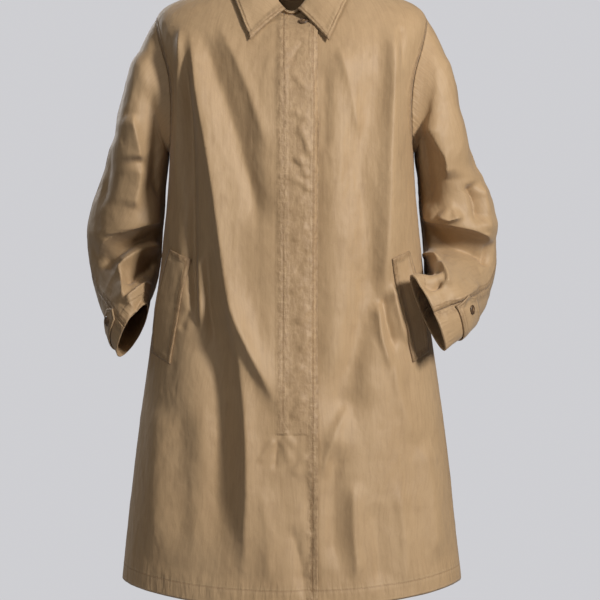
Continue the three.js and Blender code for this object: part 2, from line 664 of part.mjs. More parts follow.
const coat = new THREE.Group();
coat.add(piece("front_right", frontPanel(-1)));
coat.add(piece("front_left", frontPanel(1)));
coat.add(piece("back", backPanel()));
coat.add(piece("collar_stand", collarStand()));
coat.add(piece("collar_fall", collarFall()));

const buttonShape = buttonGeometry();
for (const [name, side] of [["left", 1], ["right", -1]]) {
  coat.add(piece(`sleeve_front_${name}`, sleevePanel(side, 1)));
  coat.add(piece(`sleeve_back_${name}`, sleevePanel(side, -1)));
  coat.add(piece(`pocket_welt_${name}`, pocketWelt(side)));
  coat.add(piece(`cuff_tab_${name}`, cuffTab(side)));

  const button = piece(`cuff_button_${name}`, buttonShape, horn());
  const turn = degToRad(TAB.endAngle - TAB_BUTTON_BACK);
  const step = (TAB.above + TAB.below) / 2;
  const normal = sleeveNormal(side, turn, step);
  placeButton(button, sleeveForm(side, turn, step), normal, TAB.cloth + LIFT + TAB_LIFT + 0.5);
  coat.add(button);
}

const neckButton = piece("neck_button", buttonShape, horn());
const neckSpot = frontSpot(NECK_BUTTON.x, NECK_BUTTON.z);
const neckNormal = bodyNormal(neckSpot.angle, neckSpot.down);
placeButton(neckButton, bodyForm(neckSpot.angle, neckSpot.down), neckNormal, TOP_LIFT + 2 * LIFT);
coat.add(neckButton);

export default coat;
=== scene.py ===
"""A knee-length khaki cotton raincoat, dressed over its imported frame.

Every cloth piece is a thin sheet on the form of its solid, with the drape folds of the solid drawn finer and the
smaller creases added. Lengths in the tables are millimetres. The meshes are metres, in the frame's own axes:
+X to the coat's own left, -Y out of the front, +Z up, with the origin between the shoulders.
"""

import logging
import math
from dataclasses import dataclass
from enum import Enum
from typing import Sequence

import bmesh
import bpy
import numpy as np
from mathutils import Matrix, Vector, noise


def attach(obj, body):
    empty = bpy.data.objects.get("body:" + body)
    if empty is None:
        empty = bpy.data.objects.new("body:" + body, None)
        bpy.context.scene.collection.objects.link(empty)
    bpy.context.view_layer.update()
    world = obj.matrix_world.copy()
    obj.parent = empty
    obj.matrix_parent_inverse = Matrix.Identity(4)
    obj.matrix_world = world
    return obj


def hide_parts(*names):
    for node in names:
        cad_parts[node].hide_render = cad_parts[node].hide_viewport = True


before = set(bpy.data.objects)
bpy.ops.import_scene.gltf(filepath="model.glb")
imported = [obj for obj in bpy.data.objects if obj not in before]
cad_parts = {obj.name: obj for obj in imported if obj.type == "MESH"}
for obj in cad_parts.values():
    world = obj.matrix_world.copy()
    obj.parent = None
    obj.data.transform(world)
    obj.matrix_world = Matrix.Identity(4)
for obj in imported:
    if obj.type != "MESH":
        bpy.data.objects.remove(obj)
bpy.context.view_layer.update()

LOG = logging.getLogger("raincoat")
MM = 0.001
Array = np.ndarray


class Side(Enum):
    """The side that a piece belongs to, as the coat is worn."""

    LEFT = 1
    RIGHT = -1

    @property
    def word(self) -> str:
        """The side as it stands in a node's name."""
        return self.name.lower()


class Half(Enum):
    """The half of a sleeve, either side of its outer seam."""

    FRONT = 1
    BACK = -1

    @property
    def word(self) -> str:
        """The half as it stands in a node's name."""
        return self.name.lower()


# Smooth steps and tables


def ease(low: float, high: float, value: Array | float) -> Array:
    """A smooth step from 0 at low to 1 at high.

    Args:
        low: Where the step starts.
        high: Where the step ends, above low.
        value: The number or numbers to look up.

    Returns:
        The step's height at each value.
    """
    t = np.clip((np.asarray(value, float) - low) / (high - low), 0.0, 1.0)
    return t * t * (3.0 - 2.0 * t)


def mix(a: Array | float, b: Array | float, t: Array | float) -> Array | float:
    """The value a share t of the way from a to b."""
    return a + (b - a) * t


def hermite(a: Array, slope_a: Array, b: Array, slope_b: Array, t: Array) -> Array:
    """A cubic between two values with the slopes given at its ends.

    Args:
        a: Value at the start.
        slope_a: Slope at the start, over the whole step.
        b: Value at the end.
        slope_b: Slope at the end, over the whole step.
        t: How far along, from 0 to 1.

    Returns:
        The cubic's value.
    """
    t2 = t * t
    t3 = t2 * t
    return (2 * t3 - 3 * t2 + 1) * a + (t3 - 2 * t2 + t) * slope_a + (3 * t2 - 2 * t3) * b + (t3 - t2) * slope_b


def unit(vectors: Array) -> Array:
    """The vectors at length one."""
    return vectors / np.maximum(np.linalg.norm(vectors, axis=-1, keepdims=True), 1e-9)


def radial(angle: Array, rise: float = 0.0) -> Array:
    """Directions away from the coat's upright axis.

    Args:
        angle: Round from the front, towards the left side.
        rise: How far they point up as well.

    Returns:
        Vectors on a last axis of three.
    """
    return np.stack([np.sin(angle), -np.cos(angle), np.full_like(angle, rise)], axis=-1)


def add_object(name: str, mesh: bpy.types.Mesh) -> bpy.types.Object:
    """Adds an object to the scene.

    Args:
        name: Its name.
        mesh: Its mesh.

    Returns:
        The object, at the origin.
    """
    made = bpy.data.objects.new(name, mesh)
    bpy.context.scene.collection.objects.link(made)
    return made


def cloud(points: Array, size: tuple[float, float, float], seed: float, ridged: bool = False) -> Array:
    """Smooth noise at points in space, the same on every piece that meets there.

    Args:
        points: Places, in millimetres.
        size: The noise's grain along X, Y and Z, in millimetres.
        seed: Shifts the pattern.
        ridged: Whether to return sharp creases in place of soft swells.

    Returns:
        Numbers from about -1 to 1, one for each point.
    """
    flat = points.reshape(-1, 3) / np.asarray(size) + seed
    values = np.fromiter((noise.noise(Vector(p)) for p in flat), float, len(flat))
    if ridged:
        values = 1.0 - 3.2 * np.abs(values)
    return values.reshape(points.shape[:-1])


# Folds

RELIEF = 1.35  # the folds are finer and stand out more than in the solids


@dataclass(frozen=True)
class Fold:
    """One soft ridge or trough of the cloth.

    Attributes:
        path: Points (x, z) in front view, in millimetres.
        depth: How far it stands out, or in where negative.
        width: How far it reaches across.
        steep: Below 1, the flank on the left of the path, looking along it, is the steeper one.
        crisp: 2 is a round crest, and 1 a sharp one.
        fade: The share of the path over which each end dies out.
    """

    path: tuple[tuple[float, float], ...]
    depth: float
    width: float
    steep: float = 1.0
    crisp: float = 1.7
    fade: float = 0.22

    def trace(self) -> Array:
        """The path as closely spaced points, on a smooth curve through its own.

        Returns:
            Points, one to a row.
        """
        p = np.asarray(self.path, float)
        ends = np.vstack([2 * p[0] - p[1], p, 2 * p[-1] - p[-2]])
        steps = np.linspace(0, 1, 6, endpoint=False)[:, None]
        pieces = []
        for i in range(len(p) - 1):
            a, b, c, d = ends[i : i + 4]
            pieces.append(hermite(b, (c - a) / 2, c, (d - b) / 2, steps))
        return np.vstack([*pieces, p[-1:]])

    def height(self, x: Array, z: Array) -> Array:
        """How far this fold pushes the cloth out.

        Args:
            x: Places across the front view.
            z: Places up the front view.

        Returns:
            The height at each place, in millimetres.
        """
        trace = self.trace()
        best = np.full(x.shape, 1e9)
        side = np.zeros(x.shape)
        along = np.zeros(x.shape)
        for i in range(len(trace) - 1):
            ax, az = trace[i]
            dx, dz = trace[i + 1] - trace[i]
            t = np.clip(((x - ax) * dx + (z - az) * dz) / (dx * dx + dz * dz), 0, 1)
            off = np.hypot(x - ax - t * dx, z - az - t * dz)
            near = off < best
            best = np.where(near, off, best)
            side = np.where(near, np.sign(dx * (z - az) - dz * (x - ax)), side)
            along = np.where(near, (i + t) / (len(trace) - 1), along)
        uneven = 1 + 0.12 * np.sin(8.0 * along + 0.05 * self.path[0][0]) + 0.05 * np.sin(19.0 * along + self.depth)
        width = self.width * np.where(side < 0, self.steep, 1.0) * uneven
        ends = ease(0, self.fade, along) * (1 - ease(1 - self.fade, 1, along))
        return RELIEF * self.depth * ends * np.exp(-((best / width) ** self.crisp))


def fold_height(folds: Sequence[Fold], x: Array, z: Array) -> Array:
    """The height of all the folds of a table together."""
    total = np.zeros(np.shape(x))
    for fold in folds:
        total = total + fold.height(x, z)
    return total


BODY_FRONT_FOLDS = (
    Fold(((-182, -91), (-181, -162), (-184, -259), (-189, -405)), 8, 9, 1, 1.4),
    Fold(((-171, -121), (-166, -259), (-165, -389), (-161, -518), (-152, -616)), -12, 10, 1, 1.6),
    Fold(
        ((-169, -94), (-158, -154), (-144, -243), (-127, -356), (-113, -454), (-97, -551), (-67, -632),
         (-38, -693), (-17, -742)),
        16, 24, 0.5, 1.3,
    ),
    Fold(((-153, -100), (-124, -178), (-92, -275), (-64, -373), (-48, -454)), -9, 20),
    Fold(((-124, -87), (-87, -162), (-58, -243), (-35, -324)), 4, 14, 0.7, 1.5),
    Fold(((-48, -162), (-48, -389), (-38, -551), (-29, -680)), 3, 26, 1, 1.8),
    Fold(((-106, -525), (-90, -599), (-77, -713), (-72, -810), (-74, -907), (-79, -1024)), 14, 28, 0.5, 1.3),
    Fold(((-126, -551), (-116, -680), (-116, -810), (-126, -972)), -13, 28, 1, 2),
    Fold(((-152, -470), (-150, -535), (-145, -606)), 6, 8, 0.7, 1.4),
    Fold(((-139, -454), (-134, -543), (-127, -632)), -7, 10, 0.8, 1.5),
    Fold(((-184, -599), (-165, -567)), -3, 7, 1, 1.5),
    Fold(((-213, -713), (-218, -826), (-223, -980)), 5, 26, 1, 1.8),
    Fold(((-178, -713), (-178, -842), (-184, -972)), -5, 26, 1, 1.8),
    Fold(((-48, -842), (-38, -923), (-35, -1013)), 4, 18, 0.8, 1.5),
    Fold(((-3, -907), (14, -964), (22, -1037)), -5, 12, 1, 1.5),
    Fold(((28, -826), (31, -940), (33, -1037)), -5, 11, 1, 1.5),
    Fold(((130, -162), (124, -251), (114, -340), (121, -421), (121, -502)), -7, 22, 1, 1.8),
    Fold(((134, -429), (127, -535), (111, -624), (91, -697), (83, -786)), -13, 30, 1, 2),
    Fold(((164, -87), (164, -162), (161, -275), (156, -389), (151, -483), (150, -567)), 13, 22, 0.6, 1.6),
    Fold(((150, -538), (137, -599), (121, -664), (114, -729)), 4, 24, 0.8, 1.7),
    Fold(((179, -100), (179, -178)), -4, 6, 1, 1.5),
    Fold(((53, -162), (54, -243), (51, -324)), -3, 12),
    Fold(((151, -538), (156, -583), (172, -635)), -7, 7, 1, 1.5),
    Fold(((163, -522), (172, -570), (189, -624)), 7, 8, 0.7, 1.3),
    Fold(((140, -551), (145, -608), (163, -667)), 6, 8, 0.7, 1.3),
    Fold(((163, -635), (179, -713), (208, -794)), 4, 14, 0.8, 1.5),
    Fold(((70, -778), (67, -875), (72, -988)), -7, 18),
    Fold(((98, -713), (65, -778), (49, -842)), 5, 14, 0.7, 1.5),
    Fold(((98, -839), (99, -923), (106, -1013)), 6, 14, 0.6, 1.4),
    Fold(((130, -875), (140, -948), (143, -1021)), -4, 14, 1, 1.6),
    Fold(((172, -842), (182, -940), (185, -1021)), 5, 15, 0.7, 1.5),
    Fold(((216, -778), (231, -875), (237, -988)), 6, 20, 0.8, 1.6),
    Fold(((72, -130), (95, -211), (111, -292)), 4, 14, 0.7, 1.5),
    Fold(((95, -162), (95, -292), (91, -454)), -3, 18),
)
FLY_CREASES = (
    Fold(((40, -75), (42, -300), (40, -560), (40, -760)), -6, 17, 0.4, 1.5),
    Fold(((-3, -243), (14, -254), (30, -259)), 2, 5.8, 1, 1.4),
    Fold(((9, -267), (22, -292), (31, -324)), 2.9, 6, 0.9, 1.5),
    Fold(((5, -319), (17, -333), (25, -358)), 2.9, 6, 0.9, 1.5),
    Fold(((-7, -324), (12, -335), (30, -343)), -2.2, 5.5, 1, 1.5),
    Fold(((-11, -348), (17, -364), (31, -376)), 2.3, 5.8, 0.7, 1.3),
    Fold(((22, -382), (10, -399), (-3, -408)), 1.7, 5, 1, 1.4),
    Fold(((25, -429), (14, -441), (1, -457)), 2, 5.8, 1, 1.4),
    Fold(((28, -470), (15, -489), (7, -512)), -1.8, 5.8, 1, 1.4),
    Fold(((25, -518), (12, -530), (-3, -543)), 2.2, 5.8, 1, 1.3),
    Fold(((30, -562), (18, -575), (9, -591)), 2.7, 5.8, 1, 1.3),
    Fold(((31, -603), (22, -617), (14, -635)), 2.4, 5.8, 1, 1.3),
    Fold(((20, -653), (6, -672), (-7, -692)), 2.4, 5, 1, 1.3),
    Fold(((23, -703), (12, -721), (1, -742)), 2.4, 5, 1, 1.3),
    Fold(((-24, -774), (-38, -787), (-53, -813)), 3.2, 5, 0.6, 1.3),
    Fold(((-22, -774), (-24, -797), (-27, -826)), -3, 5, 1, 1.4),
    Fold(((-19, -773), (-9, -787), (-3, -813)), 2.7, 5.8, 1, 1.3),
    Fold(((6, -787), (-4, -774), (-14, -766)), 2.7, 5.5, 1, 1.5),
    Fold(((28, -799), (14, -813), (1, -834)), 2.7, 5, 1, 1.3),
    Fold(((33, -920), (23, -936), (15, -959)), 2.2, 5, 1, 1.4),
    Fold(((35, -959), (28, -977), (23, -996)), 2, 5, 1, 1.4),
    Fold(((-1, -178), (12, -198), (28, -211)), 1.7, 5, 1, 1.4),
    Fold(((23, -130), (10, -146), (-3, -172)), -1.7, 5, 1, 1.4),
)
BODY_BACK_FOLDS = (
    Fold(((-165, -120), (-158, -330), (-150, -560), (-168, -820)), 13, 27, 0.7, 1.5),
    Fold(((-128, -150), (-118, -340), (-112, -600), (-122, -900)), -11, 24, 1, 1.6),
    Fold(((-62, -420), (-52, -640), (-58, -1040)), 12, 30, 0.8, 1.5),
    Fold(((0, -380), (6, -620), (2, -1050)), -12, 26, 1, 1.6),
    Fold(((58, -440), (66, -660), (64, -1040)), 12, 28, 1.2, 1.5),
    Fold(((120, -150), (112, -350), (116, -620), (130, -900)), -11, 24, 1, 1.6),
    Fold(((160, -120), (156, -330), (158, -560), (176, -830)), 12, 26, 1.2, 1.5),
    Fold(((196, -700), (214, -860), (226, -1040)), -8, 28),
    Fold(((-196, -700), (-210, -860), (-222, -1040)), -8, 28),
    Fold(((-185, -200), (-120, -262), (-50, -270)), 4, 13, 1, 1.4),
    Fold(((185, -215), (110, -285), (40, -300)), 4, 14, 1, 1.4),
    Fold(((-196, -470), (-150, -540), (-90, -570)), -4, 13),
    Fold(((196, -450), (140, -520), (84, -560)), -4, 14),
    Fold(((-30, -190), (-20, -320), (-36, -470)), 3, 20),
    Fold(((32, -180), (26, -330), (38, -460)), -3, 18),
)


# The body


@dataclass(frozen=True)
class Ring:
    """A cross ring of the body, as in the solids.

    Attributes:
        down: Distance along the cloth from the neck seam.
        half_width: From the centre plane to the side.
        front: From the side plane to the front.
        back: From the side plane to the back.
        z_front: Height at the centre front.
        z_side: Height at the side.
        z_back: Height at the centre back.
        square: 2 is an ellipse, and more is squarer.
    """

    down: float
    half_width: float
    front: float
    back: float
    z_front: float
    z_side: float
    z_back: float
    square: float


BODY_RINGS = (
    Ring(0, 76, 80, 66, -82, 0, 12, 2.0),
    Ring(80, 150, 118, 108, -116, -28, -24, 2.15),
    Ring(165, 228, 138, 130, -165, -73, -80, 2.3),
    Ring(250, 215, 148, 139, -226, -187, -180, 2.45),
    Ring(345, 206, 152, 140, -308, -300, -296, 2.5),
    Ring(495, 217, 153, 139, -454, -450, -448, 2.4),
    Ring(645, 235, 158, 148, -604, -600, -598, 2.3),
    Ring(825, 260, 166, 160, -786, -778, -780, 2.2),
    Ring(1080, 287, 176, 172, -1042, -1019, -1024, 2.12),
)
SHOULDER_DOWN = 165.0
UNDERARM_DOWN = 345.0
HEM_DOWN = 1080.0
ARMHOLE_CUT = {Half.FRONT: math.radians(23), Half.BACK: math.radians(24)}
CUT_POWER = 2.4
FOLD_FORWARD = 0.5
CLOTH = 1.3
TOP_EDGE = 43.0
UNDER_EDGE = -12.0
TOP_LIFT = 2.6
UNDER_SINK = 0.8


class BodyForm:
    """The coat's body as a surface of two values: angle round it and distance down the cloth."""

    def __init__(self) -> None:
        """Reads the rings and works out the slope of each column at each ring."""
        names = ("down", "half_width", "front", "back", "z_front", "z_side", "z_back", "square")
        self.table = np.array([[getattr(ring, name) for name in names] for ring in BODY_RINGS])
        down = self.table[:, 0]
        slopes = np.zeros_like(self.table)
        slopes[1:-1] = (self.table[2:] - self.table[:-2]) / (down[2:] - down[:-2])[:, None]
        slopes[0] = (self.table[1] - self.table[0]) / (down[1] - down[0])
        slopes[-1] = (self.table[-1] - self.table[-2]) / (down[-1] - down[-2])
        self.slopes = slopes

    def ring(self, down: Array) -> Array:
        """The columns of the ring at a distance down the cloth.

        Args:
            down: Distances from the neck seam.

        Returns:
            An array with a last axis of seven columns, from half_width to square.
        """
        knots = self.table[:, 0]
        i = np.clip(np.searchsorted(knots, down, side="right") - 1, 0, len(knots) - 2)
        span = (knots[i + 1] - knots[i])[..., None]
        t = np.clip((down[..., None] - knots[i][..., None]) / span, 0, 1)
        row = hermite(self.table[i], self.slopes[i] * span, self.table[i + 1], self.slopes[i + 1] * span, t)
        return row[..., 1:]

    def base(self, angle: Array, down: Array) -> Array:
        """The body without folds, in millimetres.

        Args:
            angle: Round from the centre front, positive to the coat's own left.
            down: Distance from the neck seam.

        Returns:
            Points, on a last axis of three.
        """
        angle, down = np.broadcast_arrays(np.asarray(angle, float), np.asarray(down, float))
        ring = np.moveaxis(self.ring(down), -1, 0)
        half_width, front, back, z_front, z_side, z_back, square = ring
        s, c = np.sin(angle), np.cos(angle)
        ahead = c > 0
        power = 2 / square
        reach = np.where(ahead, -front, back)
        fall = np.where(ahead, z_front, z_back) - z_side
        x = half_width * np.sign(s) * np.abs(s) ** power
        return np.stack([x, reach * np.abs(c) ** power, z_side + fall * c * c], axis=-1)

    def form(self, angle: Array, down: Array, creases: bool = True) -> Array:
        """The body with its folds and creases, in millimetres.

        Args:
            angle: Round from the centre front.
            down: Distance from the neck seam.
            creases: Whether the small creases are added to the drape folds.

        Returns:
            Points, on a last axis of three.
        """
        angle, down = np.broadcast_arrays(np.asarray(angle, float), np.asarray(down, float))
        p = self.base(angle, down)
        turn = np.abs(np.arctan2(np.sin(angle), np.cos(angle)))
        front_share = 1 - ease(math.radians(78), math.radians(102), turn)
        wander = np.stack([cloud(p, (110, 110, 260), 3.1), cloud(p, (90, 90, 140), 9.4)]) * 4.0
        x, z = p[..., 0] + wander[0], p[..., 2] + wander[1]
        height = fold_height(BODY_FRONT_FOLDS, x, z) * front_share
        if creases:
            height = height + fold_height(FLY_CREASES, p[..., 0], p[..., 2]) * front_share
        height = height + fold_height(BODY_BACK_FOLDS, x, z) * (1 - front_share)
        if creases:
            height = height + self.creases(p, down)
        direction = unit(np.stack([0.35 * np.sin(angle), -np.cos(angle), np.zeros_like(angle)], axis=-1))
        return p + direction * (height * ease(0, 60, down))[..., None]

    @staticmethod
    def creases(p: Array, down: Array) -> Array:
        """The small swells and creases of washed cotton.

        Args:
            p: Points of the body without folds.
            down: Distance of each from the neck seam.

        Returns:
            Heights, in millimetres.
        """
        swell = 1.1 * cloud(p, (38, 38, 260), 1.7)
        crease = 0.3 * cloud(p, (26, 26, 70), 5.3, ridged=True)
        crumple = 0.3 * cloud(p, (11, 11, 26), 8.8, ridged=True)
        hem = 1.1 * cloud(p, (24, 24, 400), 2.2) * ease(HEM_DOWN - 190, HEM_DOWN, down)
        return swell + crease + crumple + hem

    def normal(self, angle: Array, down: Array) -> Array:
        """Outward directions of the folded body, for a few places.

        Args:
            angle: Round from the front.
            down: Distance along the cloth from the neck seam.

        Returns:
            Unit vectors, on a last axis of three.
        """
        angle, down = np.broadcast_arrays(np.asarray(angle, float), np.asarray(down, float))
        low, high = np.clip(down - 3, 0, HEM_DOWN), np.clip(down + 3, 0, HEM_DOWN)
        across = self.form(angle + 0.012, down) - self.form(angle - 0.012, down)
        along = self.form(angle, high) - self.form(angle, low)
        return unit(np.cross(along, across))

    def angle_at(self, x: Array, down: Array) -> Array:
        """The angle at which the ring at a distance down has a given x, on the front."""
        x, down = np.broadcast_arrays(np.asarray(x, float), np.asarray(down, float))
        ring = self.ring(down)
        share = np.minimum(np.abs(x) / ring[..., 0], 0.999)
        return np.sign(x) * np.arcsin(share ** (ring[..., 6] / 2))

    def front_spot(self, x: Array, z: Array) -> tuple[Array, Array]:
        """Where points of the front view lie on the front.

        Args:
            x: Places across.
            z: Places up.

        Returns:
            Their angles and distances down.
        """
        x, z = np.broadcast_arrays(np.asarray(x, float), np.asarray(z, float))
        low, high = np.zeros(x.shape), np.full(x.shape, HEM_DOWN)
        for _ in range(34):
            middle = (low + high) / 2
            above = self.base(self.angle_at(x, middle), middle)[..., 2] > z
            low, high = np.where(above, middle, low), np.where(above, high, middle)
        return self.angle_at(x, low), low


BODY = BodyForm()


def armhole_down(turn: Array) -> Array:
    """The distance down of the armhole's edge: 0 at the shoulder, half a turn at the underarm."""
    return mix(SHOULDER_DOWN, UNDERARM_DOWN, (1 - np.cos(turn)) / 2)


def armhole_cut(down: Array, half: Half) -> Array:
    """How far the armhole cuts in from the side line, as an angle."""
    share = np.clip((down - SHOULDER_DOWN) / (UNDERARM_DOWN - SHOULDER_DOWN), 0, 1)
    return ARMHOLE_CUT[half] * 2 * np.sqrt(share * (1 - share))


# Sheets


@dataclass
class Sheet:
    """A grid of points that becomes one piece of cloth.

    Attributes:
        name: The piece's name.
        points: Outer points in millimetres, rows down the piece and columns across it.
        outward: A rough outward direction for each point, or one for all.
        cloth: Thickness in millimetres.
    """

    name: str
    points: Array
    outward: Array
    cloth: float = CLOTH

    def normals(self) -> Array:
        """Unit normals of the grid, turned outward.

        Returns:
            A grid of unit vectors.
        """
        across = np.gradient(self.points, axis=1)
        along = np.gradient(self.points, axis=0)
        normals = unit(np.cross(across, along))
        turned = np.sum(normals * self.outward, axis=-1).mean() < 0
        return -normals if turned else normals

    def lifted(self, height: Array | float) -> "Sheet":
        """The same sheet moved out along its normals."""
        lift = np.broadcast_to(np.asarray(height, float), self.points.shape[:-1])
        return Sheet(self.name, self.points + self.normals() * lift[..., None], self.outward, self.cloth)

    def spans(self) -> tuple[Array, Array]:
        """Distances across from the first column and down from the first row, in millimetres.

        Returns:
            The two grids of distances.
        """
        across = np.linalg.norm(np.diff(self.points, axis=1), axis=-1)
        along = np.linalg.norm(np.diff(self.points, axis=0), axis=-1)
        across = np.concatenate([np.zeros((len(across), 1)), np.cumsum(across, axis=1)], axis=1)
        along = np.concatenate([np.zeros((1, along.shape[1])), np.cumsum(along, axis=0)], axis=0)
        return across, along

    def area(self) -> float:
        """The area of the outer face, in square metres."""
        across = np.diff(self.points, axis=1)[:-1]
        along = np.diff(self.points, axis=0)[:, :-1]
        return float(np.linalg.norm(np.cross(across, along), axis=-1).sum()) * MM * MM

    def build(self, **marks: Array) -> bpy.types.Object:
        """Makes the piece: a grid moved to its points, with its pattern coordinates and seam marks.

        Args:
            **marks: Values that the material reads, one for each point.

        Returns:
            The object, with its thickness as a live modifier.
        """
        rows, columns = self.points.shape[:2]
        mesh = bpy.data.meshes.new(self.name)
        bm = bmesh.new()
        bmesh.ops.create_grid(bm, x_segments=columns - 1, y_segments=rows - 1, size=0.5, calc_uvs=True)
        bm.verts.ensure_lookup_table()
        column = np.array([round((v.co.x + 0.5) * (columns - 1)) for v in bm.verts])
        row = np.array([round((0.5 - v.co.y) * (rows - 1)) for v in bm.verts])
        places = self.points[row, column] * MM
        for vert, place in zip(bm.verts, places):
            vert.co = place
        across, along = self.spans()
        LOG.info("%s: %.4f square metres of cloth", self.name, self.area())
        layer = bm.loops.layers.uv.active or bm.loops.layers.uv.new("UVMap")
        for face in bm.faces:
            for loop in face.loops:
                i = loop.vert.index
                loop[layer].uv = (across[row[i], column[i]] * MM, along[row[i], column[i]] * MM)
        self.face_out(bm, row, column)
        bm.to_mesh(mesh)
        bm.free()
        for mark, values in marks.items():
            attribute = mesh.attributes.new(mark, "FLOAT", "POINT")
            found = np.broadcast_to(values, (rows, columns))[row, column]
            attribute.data.foreach_set("value", found.astype(np.float32))
        for polygon in mesh.polygons:
            polygon.use_smooth = True
        piece = add_object(self.name, mesh)
        wall = piece.modifiers.new("cloth", "SOLIDIFY")
        wall.thickness = self.cloth * MM
        wall.offset = -1
        return piece

    def face_out(self, bm: bmesh.types.BMesh, row: Array, column: Array) -> None:
        """Turns the faces round if they point inward.

        Args:
            bm: The mesh in the making.
            row: The row of each of its points.
            column: The column of each.
        """
        bm.normal_update()
        outward = np.broadcast_to(self.outward, self.points.shape)[row, column]
        found = np.array([v.normal[:] for v in bm.verts])
        if np.sum(found * outward) < 0:
            bmesh.ops.reverse_faces(bm, faces=bm.faces)

    def sampler(self, rows: Array, columns: Array) -> tuple[Array, Array]:
        """Points and normals at places between the grid's own.

        Args:
            rows: Fractional row numbers.
            columns: Fractional column numbers.

        Returns:
            The points and the normals there.
        """
        normals = self.normals()
        r = np.clip(rows, 0, self.points.shape[0] - 1.001)
        c = np.clip(columns, 0, self.points.shape[1] - 1.001)
        i, j = r.astype(int), c.astype(int)
        a, b = (r - i)[:, None], (c - j)[:, None]
        found = []
        for values in (self.points, normals):
            top = mix(values[i, j], values[i, j + 1], b)
            low = mix(values[i + 1, j], values[i + 1, j + 1], b)
            found.append(mix(top, low, a))
        return found[0], unit(found[1])


# Shader maths


class Paint:
    """The nodes of one material, with its sockets written as Python values."""

    def __init__(self, name: str) -> None:
        """Starts an empty material with a Principled shader.

        Args:
            name: The material's name.
        """
        self.material = bpy.data.materials.new(name)
        self.material.use_nodes = True
        self.tree = self.material.node_tree
        self.tree.nodes.clear()
        self.shader = self.tree.nodes.new("ShaderNodeBsdfPrincipled")
        output = self.tree.nodes.new("ShaderNodeOutputMaterial")
        self.tree.links.new(self.shader.outputs["BSDF"], output.inputs["Surface"])

    def node(self, kind: str, settings: dict | None = None, **values: object) -> bpy.types.Node:
        """Adds one node.

        Args:
            kind: The node's type, without its ShaderNode prefix.
            settings: Properties that are set before its sockets.
            **values: Values or links of its sockets, with spaces in their names as underscores.

        Returns:
            The node.
        """
        node = self.tree.nodes.new("ShaderNode" + kind)
        for key, value in (settings or {}).items():
            setattr(node, key, value)
        for key, value in values.items():
            self.feed(node.inputs[key.replace("_", " ")], value)
        return node

    def feed(self, socket: bpy.types.NodeSocket, value: object) -> None:
        """Links or sets one socket.

        Args:
            socket: The input.
            value: A socket or level to link, or a plain value.
        """
        if isinstance(value, Level):
            value = value.socket
        if isinstance(value, bpy.types.NodeSocket):
            self.tree.links.new(value, socket)
        else:
            socket.default_value = value

    def level(self, socket: bpy.types.NodeSocket) -> "Level":
        """Wraps a socket so that it can stand in an expression."""
        return Level(self, socket)

    def mark(self, name: str) -> "Level":
        """A seam mark of the mesh as a number."""
        return self.level(self.node("Attribute", {"attribute_name": name}).outputs["Fac"])

    def grain(self, coordinates: bpy.types.NodeSocket, scale: tuple[float, float, float], detail: float) -> "Level":
        """Noise from 0 to 1 with its own grain along each axis.

        Args:
            coordinates: The coordinates it is read at, in metres.
            scale: Grains per metre along each axis.
            detail: How many finer octaves it has.

        Returns:
            The noise.
        """
        placed = self.node("Mapping", Vector=coordinates, Scale=scale)
        found = self.node("TexNoise", Vector=placed.outputs["Vector"], Scale=1.0, Detail=detail)
        return self.level(found.outputs["Fac"])

    def blend(self, share: "Level | float", first: object, second: object) -> bpy.types.NodeSocket:
        """A colour between two others.

        Args:
            share: How much of the second colour.
            first: A colour or a socket.
            second: Another.

        Returns:
            The blended colour.
        """
        node = self.node("Mix", {"data_type": "RGBA"})
        self.feed(node.inputs[0], share)
        self.feed(node.inputs[6], first)
        self.feed(node.inputs[7], second)
        return node.outputs[2]

    def relief(self, height: "Level", distance: float, strength: float = 1.0) -> None:
        """Feeds a height to the shader's normal.

        Args:
            height: The height, where 1 is the distance given.
            distance: The relief of a height of 1, in metres.
            strength: How much of it shows.
        """
        bump = self.node("Bump", Height=height, Distance=distance, Strength=strength)
        self.tree.links.new(bump.outputs["Normal"], self.shader.inputs["Normal"])

    def surface(self, **values: object) -> bpy.types.Material:
        """Sets the shader's sockets and gives the finished material."""
        for key, value in values.items():
            self.feed(self.shader.inputs[key.replace("_", " ")], value)
        return self.material


class Level:
    """A number in a shader, used in Python expressions."""

    def __init__(self, paint: Paint, socket: bpy.types.NodeSocket) -> None:
        """Wraps a socket of a paint."""
        self.paint = paint
        self.socket = socket

    def maths(self, operation: str, *others: object, swap: bool = False, clamp: bool = False) -> "Level":
        """Adds one Math node.

        Args:
            operation: What it does.
            *others: The other operands.
            swap: Whether this number comes second.
            clamp: Whether the result is kept from 0 to 1.

        Returns:
            The result.
        """
        node = self.paint.node("Math", {"operation": operation, "use_clamp": clamp})
        operands = [self, *others]
        if swap:
            operands.reverse()
        for socket, value in zip(node.inputs, operands):
            self.paint.feed(socket, value)
        return Level(self.paint, node.outputs["Value"])

    def __add__(self, other: object) -> "Level":
        """The sum."""
        return self.maths("ADD", other)

    __radd__ = __add__

    def __mul__(self, other: object) -> "Level":
        """The product."""
        return self.maths("MULTIPLY", other)

    __rmul__ = __mul__

    def __sub__(self, other: object) -> "Level":
        """The difference."""
        return self.maths("SUBTRACT", other)

    def __rsub__(self, other: object) -> "Level":
        """The difference the other way round."""
        return self.maths("SUBTRACT", other, swap=True)

    def __abs__(self) -> "Level":
        """The size without its sign."""
        return self.maths("ABSOLUTE")

    def step(self, low: float, high: float) -> "Level":
        """A smooth step from 0 at low to 1 at high."""
        smooth = {"interpolation_type": "SMOOTHSTEP"}
        node = self.paint.node("MapRange", smooth, Value=self, From_Min=low, From_Max=high)
        return Level(self.paint, node.outputs["Result"])


# Finishes


Colour = tuple[float, float, float, float]


